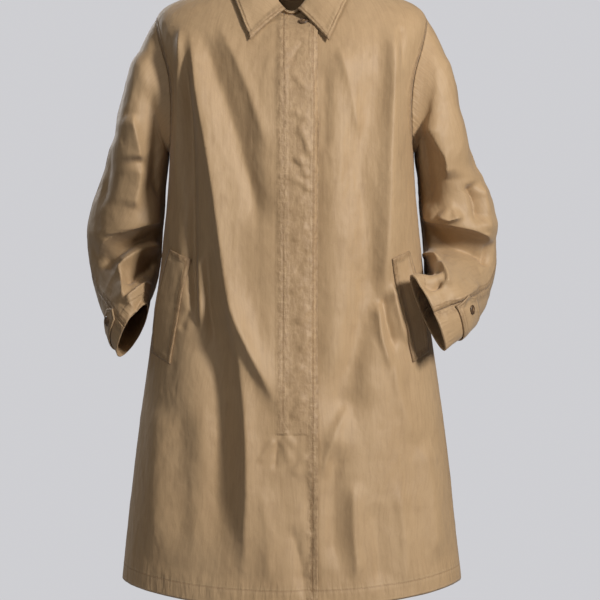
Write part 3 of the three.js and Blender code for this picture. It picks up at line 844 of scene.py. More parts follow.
@dataclass(frozen=True)
class WashedCotton:
    """Tightly woven cotton, washed as a made-up garment, so that its seams are puckered and a little worn, with
    painted shade darkening the cloth where it puckers.
    """

    name: str = "washed_cotton"
    body: Colour = (0.36, 0.235, 0.122, 1)
    pale: Colour = (0.46, 0.32, 0.185, 1)
    dark: Colour = (0.23, 0.14, 0.068, 1)

    def make(self) -> bpy.types.Material:
        """Builds the material.

        Returns:
            The material, which reads the marks line, down_seam and hem_seam.
        """
        paint = Paint(self.name)
        coordinates = paint.node("TexCoord")
        cloth = coordinates.outputs["UV"]
        space = coordinates.outputs["Object"]
        line = paint.mark("line")
        down_seam = paint.mark("down_seam")
        hem_seam = paint.mark("hem_seam")

        patches = paint.grain(space, (9, 9, 5), 3)
        fade = paint.grain(space, (60, 60, 34), 4)
        yarn = paint.grain(cloth, (1500, 420, 1), 2)
        weft = paint.grain(cloth, (420, 1500, 1), 2)
        stitched = 1 - line.step(0.4, 2.2)
        worn = line.step(1.0, 2.6) * (1 - line.step(3.0, 7.5))

        colour = paint.blend(patches.step(0.35, 0.72) * 0.35, self.body, self.pale)
        colour = paint.blend(fade.step(0.45, 0.75) * 0.22, colour, self.dark)
        colour = paint.blend((yarn * weft).step(0.12, 0.42) * 0.25, colour, self.pale)
        # Painted shade: a darker mottled tone where the seams pucker the cloth and across the fly band, standing for
        # the shade in the puckers
        mottle = paint.grain(space, (170, 170, 100), 4)
        colour = paint.blend(down_seam * (mottle.step(0.38, 0.62) * 0.55 + 0.16), colour, self.dark)
        streak = paint.grain(cloth, (230, 13, 1), 3)
        colour = paint.blend(streak.step(0.42, 0.72) * 0.2, colour, self.dark)
        colour = paint.blend(worn * 0.22, colour, self.pale)
        colour = paint.blend(stitched * 0.38, colour, self.dark)

        rough = 0.5 + patches * 0.12 + yarn * 0.08

        across = paint.grain(cloth, (46, 92, 1), 4)
        upright = paint.grain(cloth, (112, 24, 1), 2)
        crumple = paint.grain(space, (52, 52, 30), 5)
        crease = abs(paint.grain(space, (30, 30, 17), 3) - 0.5)
        relief = (across * 1.1 + mottle * 1.2) * down_seam + streak * 0.16 + upright * hem_seam * 1.5
        relief = relief + crumple * 0.7 - crease * 1.0
        relief = relief + (yarn + weft) * 0.035 - stitched * 0.3
        paint.relief(relief, 0.0016)
        return paint.surface(
            Base_Color=colour,
            Roughness=rough,
            Specular_IOR_Level=0.42,
            Sheen_Weight=0.12,
            Sheen_Roughness=0.45,
        )


@dataclass(frozen=True)
class SewingThread:
    """Matt cotton thread, a little darker than the cloth."""

    name: str = "sewing_thread"
    body: Colour = (0.33, 0.21, 0.105, 1)
    dark: Colour = (0.22, 0.13, 0.06, 1)

    def make(self) -> bpy.types.Material:
        """Builds the material.

        Returns:
            The material.
        """
        paint = Paint(self.name)
        space = paint.node("TexCoord").outputs["Object"]
        twist = paint.grain(space, (900, 900, 900), 2)
        colour = paint.blend(twist.step(0.35, 0.7), self.dark, self.body)
        paint.relief(twist, 0.0002)
        return paint.surface(Base_Color=colour, Roughness=0.7 + twist * 0.1)


@dataclass(frozen=True)
class DarkHorn:
    """Polished brown horn with cloudy streaks."""

    name: str = "dark_horn"
    body: Colour = (0.075, 0.042, 0.022, 1)
    streak: Colour = (0.20, 0.125, 0.07, 1)

    def make(self) -> bpy.types.Material:
        """Builds the material.

        Returns:
            The material.
        """
        paint = Paint(self.name)
        space = paint.node("TexCoord").outputs["Object"]
        cloudy = paint.grain(space, (90, 240, 160), 4)
        speck = paint.grain(space, (900, 900, 900), 2)
        colour = paint.blend(cloudy.step(0.42, 0.7), self.body, self.streak)
        paint.relief(speck, 0.00004)
        return paint.surface(Base_Color=colour, Roughness=0.24 + cloudy * 0.2)


# Stitching


@dataclass
class Stitching:
    """Rows of lockstitch, gathered into one mesh."""

    name: str
    length: float = 2.5
    pitch: float = 3.5
    thick: float = 0.5

    def __post_init__(self) -> None:
        """Starts with no stitches."""
        self.bm = bmesh.new()
        self.count = 0

    def run(self, points: Array, normals: Array) -> None:
        """Sews one row.

        Args:
            points: Closely spaced points along it, in millimetres.
            normals: The cloth's outward directions there.
        """
        steps = np.linalg.norm(np.diff(points, axis=0), axis=1)
        along = np.concatenate([[0], np.cumsum(steps)])
        for centre in np.arange(self.pitch / 2, along[-1], self.pitch):
            place = np.array([np.interp(centre, along, points[:, i]) for i in range(3)])
            ahead = np.array([np.interp(centre + 0.6, along, points[:, i]) for i in range(3)])
            normal = np.array([np.interp(centre, along, normals[:, i]) for i in range(3)])
            self.stitch(place, ahead - place, normal)

    def stitch(self, place: Array, ahead: Array, normal: Array) -> None:
        """Adds one stitch, half sunk in the cloth.

        Args:
            place: Its middle, in millimetres.
            ahead: The way the row runs.
            normal: The way the cloth faces.
        """
        up = Vector(normal).normalized()
        forward = Vector(ahead)
        forward = (forward - up * forward.dot(up)).normalized()
        if forward.length < 0.5:
            return
        turn = Matrix((forward, up.cross(forward), up)).transposed().to_4x4()
        size = Matrix.Diagonal((self.length * MM, self.thick * MM, 0.36 * MM, 1))
        at = Matrix.Translation(Vector(place) * MM + up * 0.12 * MM)
        made = bmesh.ops.create_cube(self.bm, size=1, matrix=at @ turn @ size)
        ends = [v for v in made["verts"] if (v.co - at.translation).dot(up) > 0]
        bmesh.ops.scale(self.bm, verts=ends, vec=(0.86, 0.86, 0.86), space=Matrix.Translation(-at.translation))
        self.count += 1

    def finish(self, material: bpy.types.Material) -> bpy.types.Object:
        """Makes the object.

        Args:
            material: The thread.

        Returns:
            The stitches as one piece.
        """
        mesh = bpy.data.meshes.new(self.name)
        self.bm.to_mesh(mesh)
        self.bm.free()
        mesh.materials.append(material)
        piece = add_object(self.name, mesh)
        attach(piece, "root")
        LOG.info("%s: %d stitches", self.name, self.count)
        return piece


def dress(piece: bpy.types.Object, node: str, material: bpy.types.Material) -> None:
    """Gives a piece its finish and its place in the frame.

    Args:
        piece: The object.
        node: The solid that it stands for.
        material: Its finish.
    """
    piece.data.materials.append(material)
    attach(piece, "root")
    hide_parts(node)
    LOG.info("%s: %d faces", piece.name, len(piece.data.polygons))


def column_at(across: Array, rows: Array, target: Array) -> Array:
    """Column numbers at which each row reaches a distance across.

    Args:
        across: Distances across for each point of the grid.
        rows: Fractional row numbers.
        target: The distance wanted in each row of the grid.

    Returns:
        Fractional column numbers.
    """
    numbers = np.arange(across.shape[1])
    found = np.array([np.interp(t, r, numbers) for t, r in zip(target, across)])
    return np.interp(rows, np.arange(len(found)), found)


def edge_marks(distances: Sequence[Array], reach: float) -> Array:
    """How strongly seams pucker the cloth near them.

    Args:
        distances: Distance to each seam, in millimetres.
        reach: How far the puckers spread.

    Returns:
        A number from 0 to 1 for each point.
    """
    nearest = np.minimum.reduce([np.abs(d) for d in distances])
    return 1 - ease(reach * 0.25, reach, nearest)


# Body panels


def panel_rows() -> Array:
    """Distances down of a panel's rows, closer together at both ends of the armhole."""
    shoulder = np.linspace(0, SHOULDER_DOWN, 44, endpoint=False)
    armhole = armhole_down(np.linspace(0, math.pi, 52, endpoint=False))
    skirt = mix(UNDERARM_DOWN, HEM_DOWN, np.linspace(0, 1, 190))
    return np.concatenate([shoulder, armhole, skirt])


@dataclass
class FrontPanel:
    """One front of the coat, from its free edge to the side seam."""

    side: Side
    columns: int = 124
    fly_line: float = -13.0
    fly_low: float = -765.0
    edge_stitch: float = 9.0
    hem_depth: float = 26.0
    armhole_stitch: float = 6.0
    fly_stitch_down: float = 745.0

    def sheet(self) -> Sheet:
        """The panel's grid, raised over or sunk under the other front.

        Returns:
            The grid in the coat's frame.
        """
        side = self.side.value
        edge = TOP_EDGE if self.side is Side.RIGHT else UNDER_EDGE
        down = panel_rows()[:, None]
        start = BODY.angle_at(np.array(edge), down)
        share = np.linspace(0, 1, self.columns + 1)[None, :] ** 1.3
        cut = armhole_cut(down, Half.FRONT) * share**CUT_POWER
        angle = mix(start, side * math.pi / 2, share) - side * cut
        points = BODY.form(angle, down)
        outward = radial(angle, 0.2)
        sheet = Sheet(f"{self.node}_cloth", points, outward, 2.0 if self.side is Side.RIGHT else CLOTH)
        over = ease(-60, -20, points[..., 0])
        under = 1 - ease(50, 90, points[..., 0])
        rise = TOP_LIFT * over if self.side is Side.RIGHT else -UNDER_SINK * under
        return sheet.lifted(rise)

    @property
    def node(self) -> str:
        """The solid that the panel stands for."""
        return f"front_{self.side.word}"

    def make(self, cotton: bpy.types.Material, sewing: Stitching) -> Sheet:
        """Builds the panel and sews its seams.

        Args:
            cotton: Its finish.
            sewing: The rows of stitching that it adds to.

        Returns:
            The panel's grid.
        """
        sheet = self.sheet()
        down = np.broadcast_to(panel_rows()[:, None], sheet.points.shape[:2])
        across, _ = sheet.spans()
        to_side = across[:, -1:] - across
        x = sheet.points[..., 0]
        hem = HEM_DOWN - down
        far = np.full_like(across, 99.0)
        edge = across if self.side is Side.RIGHT else far
        in_fly = sheet.points[..., 2] > self.fly_low
        fly = np.where(in_fly, x - self.fly_line, 99.0) if self.side is Side.RIGHT else far
        inside = to_side - np.where(down < UNDERARM_DOWN + 10, self.armhole_stitch, 4.0)
        line = np.minimum.reduce(
            [np.abs(edge - self.edge_stitch), np.abs(fly), np.abs(inside), np.abs(hem - self.hem_depth), to_side, hem]
        )
        # The pucker mark also sets painted shade in the material: the cloth darkens where it puckers, and across the
        # whole fly band
        down_seam = edge_marks([edge - 7, fly, inside], 15)
        down_seam = np.maximum(down_seam, 0.55 * (in_fly & (x > self.fly_line)) * (self.side is Side.RIGHT))
        piece = sheet.build(line=line, down_seam=down_seam, hem_seam=edge_marks([hem - 20], 34))
        dress(piece, self.node, cotton)
        self.sew(sheet, across, down, sewing)
        return sheet

    def sew(self, sheet: Sheet, across: Array, down: Array, sewing: Stitching) -> None:
        """Runs the stitching along the edge, the fly, the armhole and the hem.

        Args:
            sheet: The panel's grid.
            across: Distances across the grid.
            down: Distances down it.
            sewing: The rows of stitching that it adds to.
        """
        rows = np.arange(0, sheet.points.shape[0] - 1, 0.25)
        lines: list[tuple[Array, Array]] = []
        hem_row = np.interp(HEM_DOWN - self.hem_depth, down[:, 0], np.arange(len(down)))
        columns = np.arange(0, sheet.points.shape[1] - 1, 0.3)
        lines.append((np.full_like(columns, hem_row), columns))
        lines.append((rows, column_at(across, rows, across[:, -1] - self.armhole_stitch)))
        if self.side is Side.RIGHT:
            for inset in (self.edge_stitch - 1.2, self.edge_stitch + 1.8):
                lines.append((rows, column_at(across, rows, np.full(len(across), inset))))
            place = np.array([np.interp(TOP_EDGE - self.fly_line, r, r) for r in across])
            fly_rows = rows[np.interp(rows, np.arange(len(down)), down[:, 0]) < self.fly_stitch_down]
            lines.append((fly_rows, column_at(across, fly_rows, place)))
        for line_rows, line_columns in lines:
            sewing.run(*sheet.sampler(line_rows, line_columns))


@dataclass
class BackPanel:
    """The back, one piece from side seam to side seam."""

    columns: int = 140
    hem_depth: float = 26.0
    armhole_stitch: float = 6.0

    def make(self, cotton: bpy.types.Material, sewing: Stitching) -> None:
        """Builds the back and sews its hem and armholes.

        Args:
            cotton: Its finish.
            sewing: The rows of stitching that it adds to.
        """
        down = panel_rows()[:, None]
        share = np.linspace(-1, 1, self.columns + 1)[None, :]
        cut = armhole_cut(down, Half.BACK) * np.abs(share) ** CUT_POWER
        angle = math.pi + share * math.pi / 2 - np.sign(share) * cut
        points = BODY.form(angle, down)
        outward = radial(angle, 0.2)
        sheet = Sheet("back_cloth", points, outward)
        across, _ = sheet.spans()
        down = np.broadcast_to(down, across.shape)
        side = np.minimum(across, across[:, -1:] - across)
        hem = HEM_DOWN - down
        line = np.minimum.reduce([np.abs(side - self.armhole_stitch), side, np.abs(hem - self.hem_depth), hem, down])
        marks = {"line": line, "down_seam": edge_marks([side - 4], 15), "hem_seam": edge_marks([hem - 20], 34)}
        piece = sheet.build(**marks)
        dress(piece, "back", cotton)
        columns = np.arange(0, points.shape[1] - 1, 0.3)
        hem_row = np.interp(HEM_DOWN - self.hem_depth, down[:, 0], np.arange(len(down)))
        sewing.run(*sheet.sampler(np.full_like(columns, hem_row), columns))
        rows = np.arange(0, points.shape[0] - 1, 0.3)
        for target in (np.full(len(across), self.armhole_stitch), across[:, -1] - self.armhole_stitch):
            sewing.run(*sheet.sampler(rows, column_at(across, rows, target)))


# Sleeves


@dataclass(frozen=True)
class SleeveRing:
    """A cross ring of the left sleeve, as in the solids. On the right its x is turned over.

    Attributes:
        centre: Its middle.
        out: From the middle to the outer seam.
        fore: From the middle to the side that faces forwards, or upwards on the forearm.
    """

    centre: tuple[float, float, float]
    out: tuple[float, float, float]
    fore: tuple[float, float, float]


UPPER_SLEEVE = (
    SleeveRing((227, 2, -200), (17, 0, 101), (2, -74, 0)),
    SleeveRing((235, 4, -221), (25, 0, 85), (3, -80, -2)),
    SleeveRing((243, 8, -251), (32, 0, 63), (4, -82, -6)),
    SleeveRing((253, 16, -289), (40, 0, 38), (4, -80, -12)),
    SleeveRing((266, 27, -328), (50, 1, 19), (3, -77, -16)),
    SleeveRing((277, 39, -368), (59, 2, 5), (1, -74, -18)),
    SleeveRing((285, 50, -409), (64, 4, -2), (0, -73, -14)),
)
FOREARMS = {
    Side.LEFT: (
        SleeveRing((290, 58, -449), (65, 6, -4), (0, -72, 10)),
        SleeveRing((291, 56, -488), (63, 2, -6), (-6, -62, 38)),
        SleeveRing((284, 34, -518), (55, -8, -8), (-16, -46, 54)),
        SleeveRing((276, -4, -532), (44, -20, -4), (-24, -32, 54)),
        SleeveRing((260, -88, -551), (23, -25, 0), (-26, -15, 54)),
        SleeveRing((220, -141, -572), (9, -21, 1), (-27, -4, 61)),
    ),
    Side.RIGHT: (
        SleeveRing((290, 58, -449), (65, 6, -4), (0, -72, 10)),
        SleeveRing((288, 58, -490), (61, 0, -8), (-6, -62, 38)),
        SleeveRing((283, 40, -526), (50, -16, -8), (-12, -48, 54)),
        SleeveRing((280, 12, -552), (36, -28, 0), (-18, -34, 52)),
        SleeveRing((275, -16, -578), (24, -33, 6), (-24, -20, 48)),
        SleeveRing((266, -44, -601), (11, -30, 5), (-24, -9, 45)),
    ),
}
SLEEVE_FOLDS = {
    Side.LEFT: (
        Fold(
            ((206, -402), (228, -414), (256, -422), (282, -428), (306, -436), (342, -462)),
            18.8, 36, 0.16, 1.2, 0.12,
        ),
        Fold(((210, -430), (236, -440), (262, -452), (300, -462), (340, -482)), -13, 14, 0.9, 1.5, 0.15),
        Fold(((214, -240), (240, -290), (256, -320), (259, -352)), 14.5, 24, 0.16, 1.2),
        Fold(((214, -260), (226, -330), (238, -404)), -13, 17, 1, 1.5),
        Fold(((250, -404), (266, -414), (286, -406)), 13, 12, 0.35, 1.3),
        Fold(((290, -356), (304, -384), (310, -424)), -14.5, 13, 0.35, 1.3),
        Fold(((318, -350), (328, -396), (326, -440)), 7.2, 12, 1, 1.4),
        Fold(((208, -470), (226, -480), (254, -486)), 13, 16, 0.2, 1.2),
        Fold(((204, -492), (222, -500), (250, -500)), -10.2, 7, 1, 1.4),
        Fold(((206, -514), (226, -528), (244, -520)), -13, 10, 0.6, 1.3),
        Fold(((244, -486), (252, -510), (250, -532)), 8.7, 9, 0.4, 1.3),
        Fold(((332, -450), (335, -470), (330, -496)), -10.2, 9, 1, 1.4),
        Fold(((258, -130), (274, -220), (294, -330)), 7.2, 18, 1, 1.5),
        Fold(((284, -190), (302, -280), (316, -350)), -7.2, 14, 1, 1.6),
        Fold(((256, -556), (286, -542), (318, -520)), 7.2, 9, 0.5, 1.4),
        Fold(((230, -580), (250, -566), (276, -560)), -4.3, 8, 1, 1.4),
    ),
    Side.RIGHT: (
        Fold(
            ((206, -408), (226, -416), (250, -423), (274, -435), (296, -450), (334, -478)),
            18.8, 36, 0.16, 1.2, 0.12,
        ),
        Fold(((212, -430), (240, -440), (266, -452), (292, -470), (330, -500)), -13, 14, 0.9, 1.5, 0.15),
        Fold(((208, -460), (228, -464), (250, -472), (268, -484), (300, -508)), 17.4, 26, 0.18, 1.2, 0.15),
        Fold(((216, -484), (240, -490), (262, -504), (290, -528)), -13, 12, 1, 1.5),
        Fold(((292, -492), (284, -524), (280, -556)), 10.2, 10, 0.5, 1.2),
        Fold(((280, -556), (262, -540), (240, -520)), 10.2, 10, 0.4, 1.2),
        Fold(((246, -540), (256, -560), (262, -584)), -8.7, 8, 1, 1.3),
        Fold(((262, -120), (276, -230), (300, -340)), 10.2, 28, 1, 1.6),
        Fold(((262, -240), (252, -290), (249, -322)), 11.6, 18, 0.25, 1.2),
        Fold(((249, -322), (256, -360), (268, -400)), 8.7, 14, 0.5, 1.3),
        Fold(((232, -180), (230, -290), (228, -390)), -11.6, 20, 1, 1.6),
        Fold(((292, -240), (308, -320), (320, -400)), -7.2, 12, 1, 1.5),
    ),
}
SLEEVE_BACK_FOLDS = (
    Fold(((236, -240), (262, -300), (300, -350)), 7, 15, 1, 1.5),
    Fold(((240, -330), (272, -380), (318, -410)), -8, 14, 1, 1.5),
    Fold(((246, -410), (286, -440), (334, -446)), 8, 15, 1, 1.4),
    Fold(((244, -470), (286, -490), (326, -492)), -7, 13, 1, 1.5),
    Fold(((250, -530), (286, -540), (318, -530)), 5, 12, 1, 1.5),
)


class SleeveForm:
    """A sleeve as a surface of two values: turn round the arm and step along its rings."""

    def __init__(self, side: Side) -> None:
        """Reads the rings of one side.

        Args:
            side: The side it hangs on.
        """
        rings = (*UPPER_SLEEVE, *FOREARMS[side])
        self.side = side
        self.steps = len(rings)
        flip = np.array([side.value, 1, 1])
        self.centre = np.array([ring.centre for ring in rings], float) * flip
        self.out = np.array([ring.out for ring in rings], float) * flip
        self.fore = np.array([ring.fore for ring in rings], float) * flip

    def armhole(self, turn: Array) -> Array:
        """Points of the armhole's edge."""
        s = np.sin(turn)
        cut = np.where(s > 0, ARMHOLE_CUT[Half.FRONT], ARMHOLE_CUT[Half.BACK])
        return BODY.form(self.side.value * (math.pi / 2 - cut * s), armhole_down(turn))

    def knot(self, index: Array, turn: Array, armhole: Array) -> Array:
        """Points of whole rings, where ring 0 is the armhole."""
        i = np.clip(index, 1, self.steps) - 1
        c, s = np.cos(turn)[..., None], np.sin(turn)[..., None]
        ring = self.centre[i] + self.out[i] * c + self.fore[i] * s
        return np.where((index == 0)[..., None], armhole, ring)

    def form(self, turn: Array, step: Array) -> Array:
        """The sleeve with its folds and creases, in millimetres.

        Args:
            turn: Round from the outer seam, forwards first.
            step: Along the rings, from 0 at the armhole.

        Returns:
            Points, on a last axis of three.
        """
        turn, step = np.broadcast_arrays(np.asarray(turn, float), np.asarray(step, float))
        armhole = self.armhole(turn)
        i = np.clip(step.astype(int), 0, self.steps - 1)
        a, b = self.knot(i, turn, armhole), self.knot(i + 1, turn, armhole)
        before = self.knot(np.maximum(i - 1, 0), turn, armhole)
        after = self.knot(np.minimum(i + 2, self.steps), turn, armhole)
        slope_a = (b - before) * np.where(i > 0, 0.5, 1.0)[..., None]
        slope_b = (after - a) * np.where(i + 2 <= self.steps, 0.5, 1.0)[..., None]
        p = hermite(a, slope_a, b, slope_b, (step - i)[..., None])
        outward = unit(p - self.centre_at(step))
        outward[..., 1] -= FOLD_FORWARD * self.facing(turn)
        return p + unit(outward) * self.height(p, turn, step)[..., None]

    def centre_at(self, step: Array) -> Array:
        """The middle of the arm at a step."""
        at = np.clip(step - 1, 0, self.steps - 1)
        i = np.minimum(at.astype(int), self.steps - 2)
        return mix(self.centre[i], self.centre[i + 1], (at - i)[..., None])

    @staticmethod
    def facing(turn: Array) -> Array:
        """How far a place faces the front, from 0 to 1."""
        return ease(-0.25, 0.45, np.sin(turn) + 0.55 * np.cos(turn))

    def height(self, p: Array, turn: Array, step: Array) -> Array:
        """The height of the folds and creases together.

        Args:
            p: Points of the sleeve without folds.
            turn: Round the arm.
            step: Along the rings.

        Returns:
            Heights, in millimetres.
        """
        free = ease(0.4, 2.2, step)
        facing = self.facing(turn)
        wander = 3.0 * cloud(p, (60, 60, 70), 4.4)
        x, z = self.side.value * p[..., 0] + wander, p[..., 2] + 0.6 * wander
        height = fold_height(SLEEVE_FOLDS[self.side], x, z) * facing
        height = height + fold_height(SLEEVE_BACK_FOLDS, x, z) * (1 - facing)
        swell = 1.5 * cloud(p, (40, 40, 110), 6.1)
        crease = 0.5 * cloud(p, (26, 26, 40), 2.9, ridged=True)
        crumple = 0.25 * cloud(p, (12, 12, 17), 7.7, ridged=True)
        return (height + swell + crease + crumple) * free


@dataclass
class Sleeve:
    """One sleeve: its two halves, and the tab and button of its cuff."""

    side: Side
    columns: int = 70
    rows: int = 230
    tab_angles: tuple[float, float] = (-125.0, -4.0)
    tab_steps: tuple[float, float] = (11.55, 12.35)
    tab_cloth: float = 2.0
    tab_point: float = 10.0
    lift: float = 1.2
    button_back: float = 14.0
    button_gap: float = 0.3

    def __post_init__(self) -> None:
        """Works out the sleeve's form."""
        self.form = SleeveForm(self.side)

    def make(self, cotton: bpy.types.Material, sewing: Stitching) -> None:
        """Builds both halves.

        Args:
            cotton: Their finish.
            sewing: The rows of stitching that they add to.
        """
        for half in Half:
            sheet = self.half_sheet(half)
            across, along = sheet.spans()
            seam = np.minimum(across, across[:, -1:] - across)
            cuff = along[-1:, :] - along
            line = np.minimum.reduce([seam, np.abs(across - 2), np.abs(across - 8), np.abs(cuff - 22), cuff, along])
            marks = {
                "line": line if half is Half.FRONT else np.minimum(seam, cuff),
                "down_seam": edge_marks([seam - 3], 15),
                "hem_seam": edge_marks([cuff - 14, along + 4], 22),
            }
            piece = sheet.build(**marks)
            node = f"sleeve_{half.word}_{self.side.word}"
            dress(piece, node, cotton)
            rows = np.arange(0, sheet.points.shape[0] - 1, 0.3)
            if half is Half.FRONT:
                for inset in (2.0, 8.0):
                    target = np.full(len(across), inset)
                    sewing.run(*sheet.sampler(rows, column_at(across, rows, target)))

    def half_sheet(self, half: Half) -> Sheet:
        """The grid of one half, from the armhole to the cuff.

        Args:
            half: Front or back.

        Returns:
            The grid.
        """
        turn = half.value * np.linspace(0, math.pi, self.columns + 1)[None, :]
        step = np.linspace(0, self.form.steps, self.rows + 1)[:, None]
        points = self.form.form(turn, step)
        outward = points - self.form.centre_at(step)
        return Sheet(f"sleeve_{half.word}_{self.side.word}_cloth", points, outward)

    def surface(self, turn: Array, step: Array) -> tuple[Array, Array]:
        """Points and outward directions of the sleeve, for a few places."""
        small = 0.03
        across = self.form.form(turn + small, step) - self.form.form(turn - small, step)
        along = self.form.form(turn, np.minimum(step + small, self.form.steps)) - self.form.form(turn, step - small)
        return self.form.form(turn, step), unit(np.cross(across, along) * self.side.value)

    def tab(self, cotton: bpy.types.Material, sewing: Stitching) -> None:
        """Builds the cuff's tab, pointed at its buttoned end.

        Args:
            cotton: Its finish.
            sewing: The rows of stitching that it adds to.
        """
        rows, columns = 14, 70
        share = np.linspace(0, 1, columns + 1)[None, :]
        level = np.linspace(0, 1, rows + 1)[:, None]
        point = self.tab_point * (1 - np.abs(level - 0.5) * 2) * ease(0.9, 1, share)
        turn = np.radians(mix(self.tab_angles[0], self.tab_angles[1], share) + point)
        step = mix(self.tab_steps[0], self.tab_steps[1], level) + np.zeros_like(share)
        base, normal = self.surface(turn, step)
        out = base + normal * (self.tab_cloth + self.lift)
        sheet = Sheet(f"cuff_tab_{self.side.word}_cloth", out, normal, self.tab_cloth)
        across, along = sheet.spans()
        border = np.minimum.reduce([along, along[-1:, :] - along, across[:, -1:] - across])
        marks = {"line": np.abs(border - 4), "down_seam": edge_marks([border - 3], 9), "hem_seam": border * 0}
        piece = sheet.build(**marks)
        dress(piece, f"cuff_tab_{self.side.word}", cotton)
        columns_run = np.arange(0, columns - 2, 0.4)
        for inset in (0.16, 0.84):
            sewing.run(*sheet.sampler(np.full_like(columns_run, inset * rows), columns_run))

    def button_place(self) -> tuple[Array, Array]:
        """The middle of the cuff button's back, and the way it faces."""
        turn = np.radians(np.array([self.tab_angles[1] - self.button_back]))
        step = np.array([sum(self.tab_steps) / 2])
        place, normal = self.surface(turn, step)
        return (place + normal * (self.tab_cloth + self.lift + self.button_gap))[0], normal[0]


# Collar


@dataclass
class Collar:
    """The stand round the neck and the fall turned down over it."""

    lap: float = math.radians(9)
    lap_lift: float = 2.4
    stand_cloth: float = 1.6
    fall_cloth: float = 1.8
    fall_lift: float = 6.2
    front_share: float = 0.24
    fall_back_down: float = 34.0
    side_point: tuple[float, float] = (104.0, -34.0)
    tips: tuple[tuple[float, float], tuple[float, float]] = ((60.0, -132.0), (-67.0, -130.0))
    stitch_inset: float = 6.0

    @staticmethod
    def roll(angle: Array) -> Array:
        """The line along which the collar rolls over.

        Args:
            angle: Round the neck.

        Returns:
            Points in millimetres.
        """
        c = np.cos(angle)
        share = np.abs(c) ** 2.6
        y = np.where(c > 0, -85 * c, -60 * c)
        z = 30 + (np.where(c > 0, -76, 48) - 30) * share
        return np.stack([60 * np.sin(angle), y, z], axis=-1)

    @staticmethod
    def foot(angle: Array) -> Array:
        """The stand's lower edge, just above the neck seam.

        Args:
            angle: Round the neck.

        Returns:
            Points in millimetres.
        """
        foot = BODY.form(angle, np.zeros_like(angle))
        x = foot[..., 0]
        raised = TOP_LIFT * ease(-66, -30, x) * (1 - ease(44, 56, x)) * (np.cos(angle) > 0)
        foot[..., 2] += 0.4 + 1.3 * raised
        return foot

    def edge(self, angle: Array) -> Array:
        """The fall's outer edge, lying on the shoulders.

        Args:
            angle: Round the neck.

        Returns:
            Points in millimetres.
        """
        side = np.where(angle < math.pi, 1.0, -1.0)
        tip_x = np.where(side > 0, self.tips[0][0], self.tips[1][0])
        tip_z = np.where(side > 0, self.tips[0][1], self.tips[1][1])
        turn = np.where(side > 0, angle, 2 * math.pi - angle)
        share = np.maximum(turn - self.lap, 0) / (math.pi - self.lap)
        ahead = np.minimum(share / self.front_share, 1)
        x = mix(tip_x, side * self.side_point[0], ahead)
        spot_angle, spot_down = BODY.front_spot(x, mix(tip_z, self.side_point[1], ahead))
        behind = np.maximum(share - self.front_share, 0) / (1 - self.front_share)
        at = mix(spot_angle, side * math.pi, behind)
        down = mix(spot_down, self.fall_back_down, ease(0, 1, behind))
        return BODY.form(at, down, creases=False) + BODY.normal(at, down) * self.fall_lift

    def fall_points(self, angle: Array, rows: int) -> Array:
        """The fall: up over the roll line, then down to its edge.

        Args:
            angle: Round the neck.
            rows: How many steps it has from the roll to its edge.

        Returns:
            A grid of points in millimetres.
        """
        turn = np.where(angle < math.pi, angle, 2 * math.pi - angle)
        rolled = ease(self.lap, 1.1, turn)[:, None]
        outward = radial(angle)
        tangent = unit(self.roll(angle + 0.02) - self.roll(angle - 0.02))
        up = self.roll(angle) - self.foot(angle)
        up = unit(up - tangent * np.sum(up * tangent, axis=-1, keepdims=True))
        start = self.roll(angle) + outward * self.lap_lift * (1 - rolled) + up * (self.fall_cloth + 0.4)
        end = self.edge(angle)
        rise = start + outward * mix(6, 13, rolled) + up * mix(2, 11, rolled)
        rest = end + (start - end) * 0.45 + outward * mix(2, 8, rolled)
        rest[:, 2] += mix(3, 12, rolled)[:, 0]
        t = np.linspace(0, 1, rows + 1)[:, None, None]
        return (1 - t) ** 3 * start + 3 * t * (1 - t) ** 2 * rise + 3 * t * t * (1 - t) * rest + t**3 * end

    def make(self, cotton: bpy.types.Material, sewing: Stitching) -> None:
        """Builds the stand and the fall.

        Args:
            cotton: Their finish.
            sewing: The rows of stitching that they add to.
        """
        self.make_stand(cotton)
        rows, columns = 34, 220
        angle = np.linspace(self.lap, 2 * math.pi - self.lap, columns + 1)
        points = self.fall_points(angle, rows)
        outward = radial(angle, 0.9)[None]
        sheet = Sheet("collar_fall_cloth", points, outward, self.fall_cloth)
        swell = 0.5 * cloud(points, (28, 28, 28), 3.7) + 0.25 * cloud(points, (11, 11, 11), 6.6, ridged=True)
        sheet = sheet.lifted(swell * ease(0, 1, np.linspace(0, 3, rows + 1))[:, None])
        across, along = sheet.spans()
        border = np.minimum.reduce([along[-1:, :] - along, across, across[:, -1:] - across])
        marks = {
            "line": np.minimum(np.abs(border - self.stitch_inset), border),
            "down_seam": edge_marks([np.minimum(across, across[:, -1:] - across) - 4], 12),
            "hem_seam": edge_marks([along[-1:, :] - along - 4], 13),
        }
        piece = sheet.build(**marks)
        dress(piece, "collar_fall", cotton)
        run = np.arange(5, columns - 5, 0.3)
        edge = column_at(along.T, run, along[-1] - self.stitch_inset)
        sewing.run(*sheet.sampler(edge, run))
        for first in (True, False):
            down = np.arange(1, rows - 3, 0.2)
            inset = np.full(rows + 1, self.stitch_inset) if first else across[:, -1] - self.stitch_inset
            sewing.run(*sheet.sampler(down, column_at(across, down, inset)))

    def make_stand(self, cotton: bpy.types.Material) -> None:
        """Builds the band between the neck seam and the roll line.

        Args:
            cotton: Its finish.
        """
        angle = np.linspace(-self.lap, 2 * math.pi + self.lap, 181)
        low, high = self.foot(angle), self.roll(angle)
        level = np.linspace(0, 1, 13)[:, None, None]
        outward = radial(angle)[None]
        over = ease(2 * math.pi - 0.62, 2 * math.pi - 0.2, angle)[None]
        sheet = Sheet("collar_stand_cloth", mix(low, high, level), outward, self.stand_cloth)
        sheet = sheet.lifted(self.lap_lift * over)
        across, along = sheet.spans()
        line = np.minimum(np.abs(along - 3), along)
        piece = sheet.build(line=line, down_seam=along * 0, hem_seam=edge_marks([along - 3], 10))
        dress(piece, "collar_stand", cotton)


# Pockets


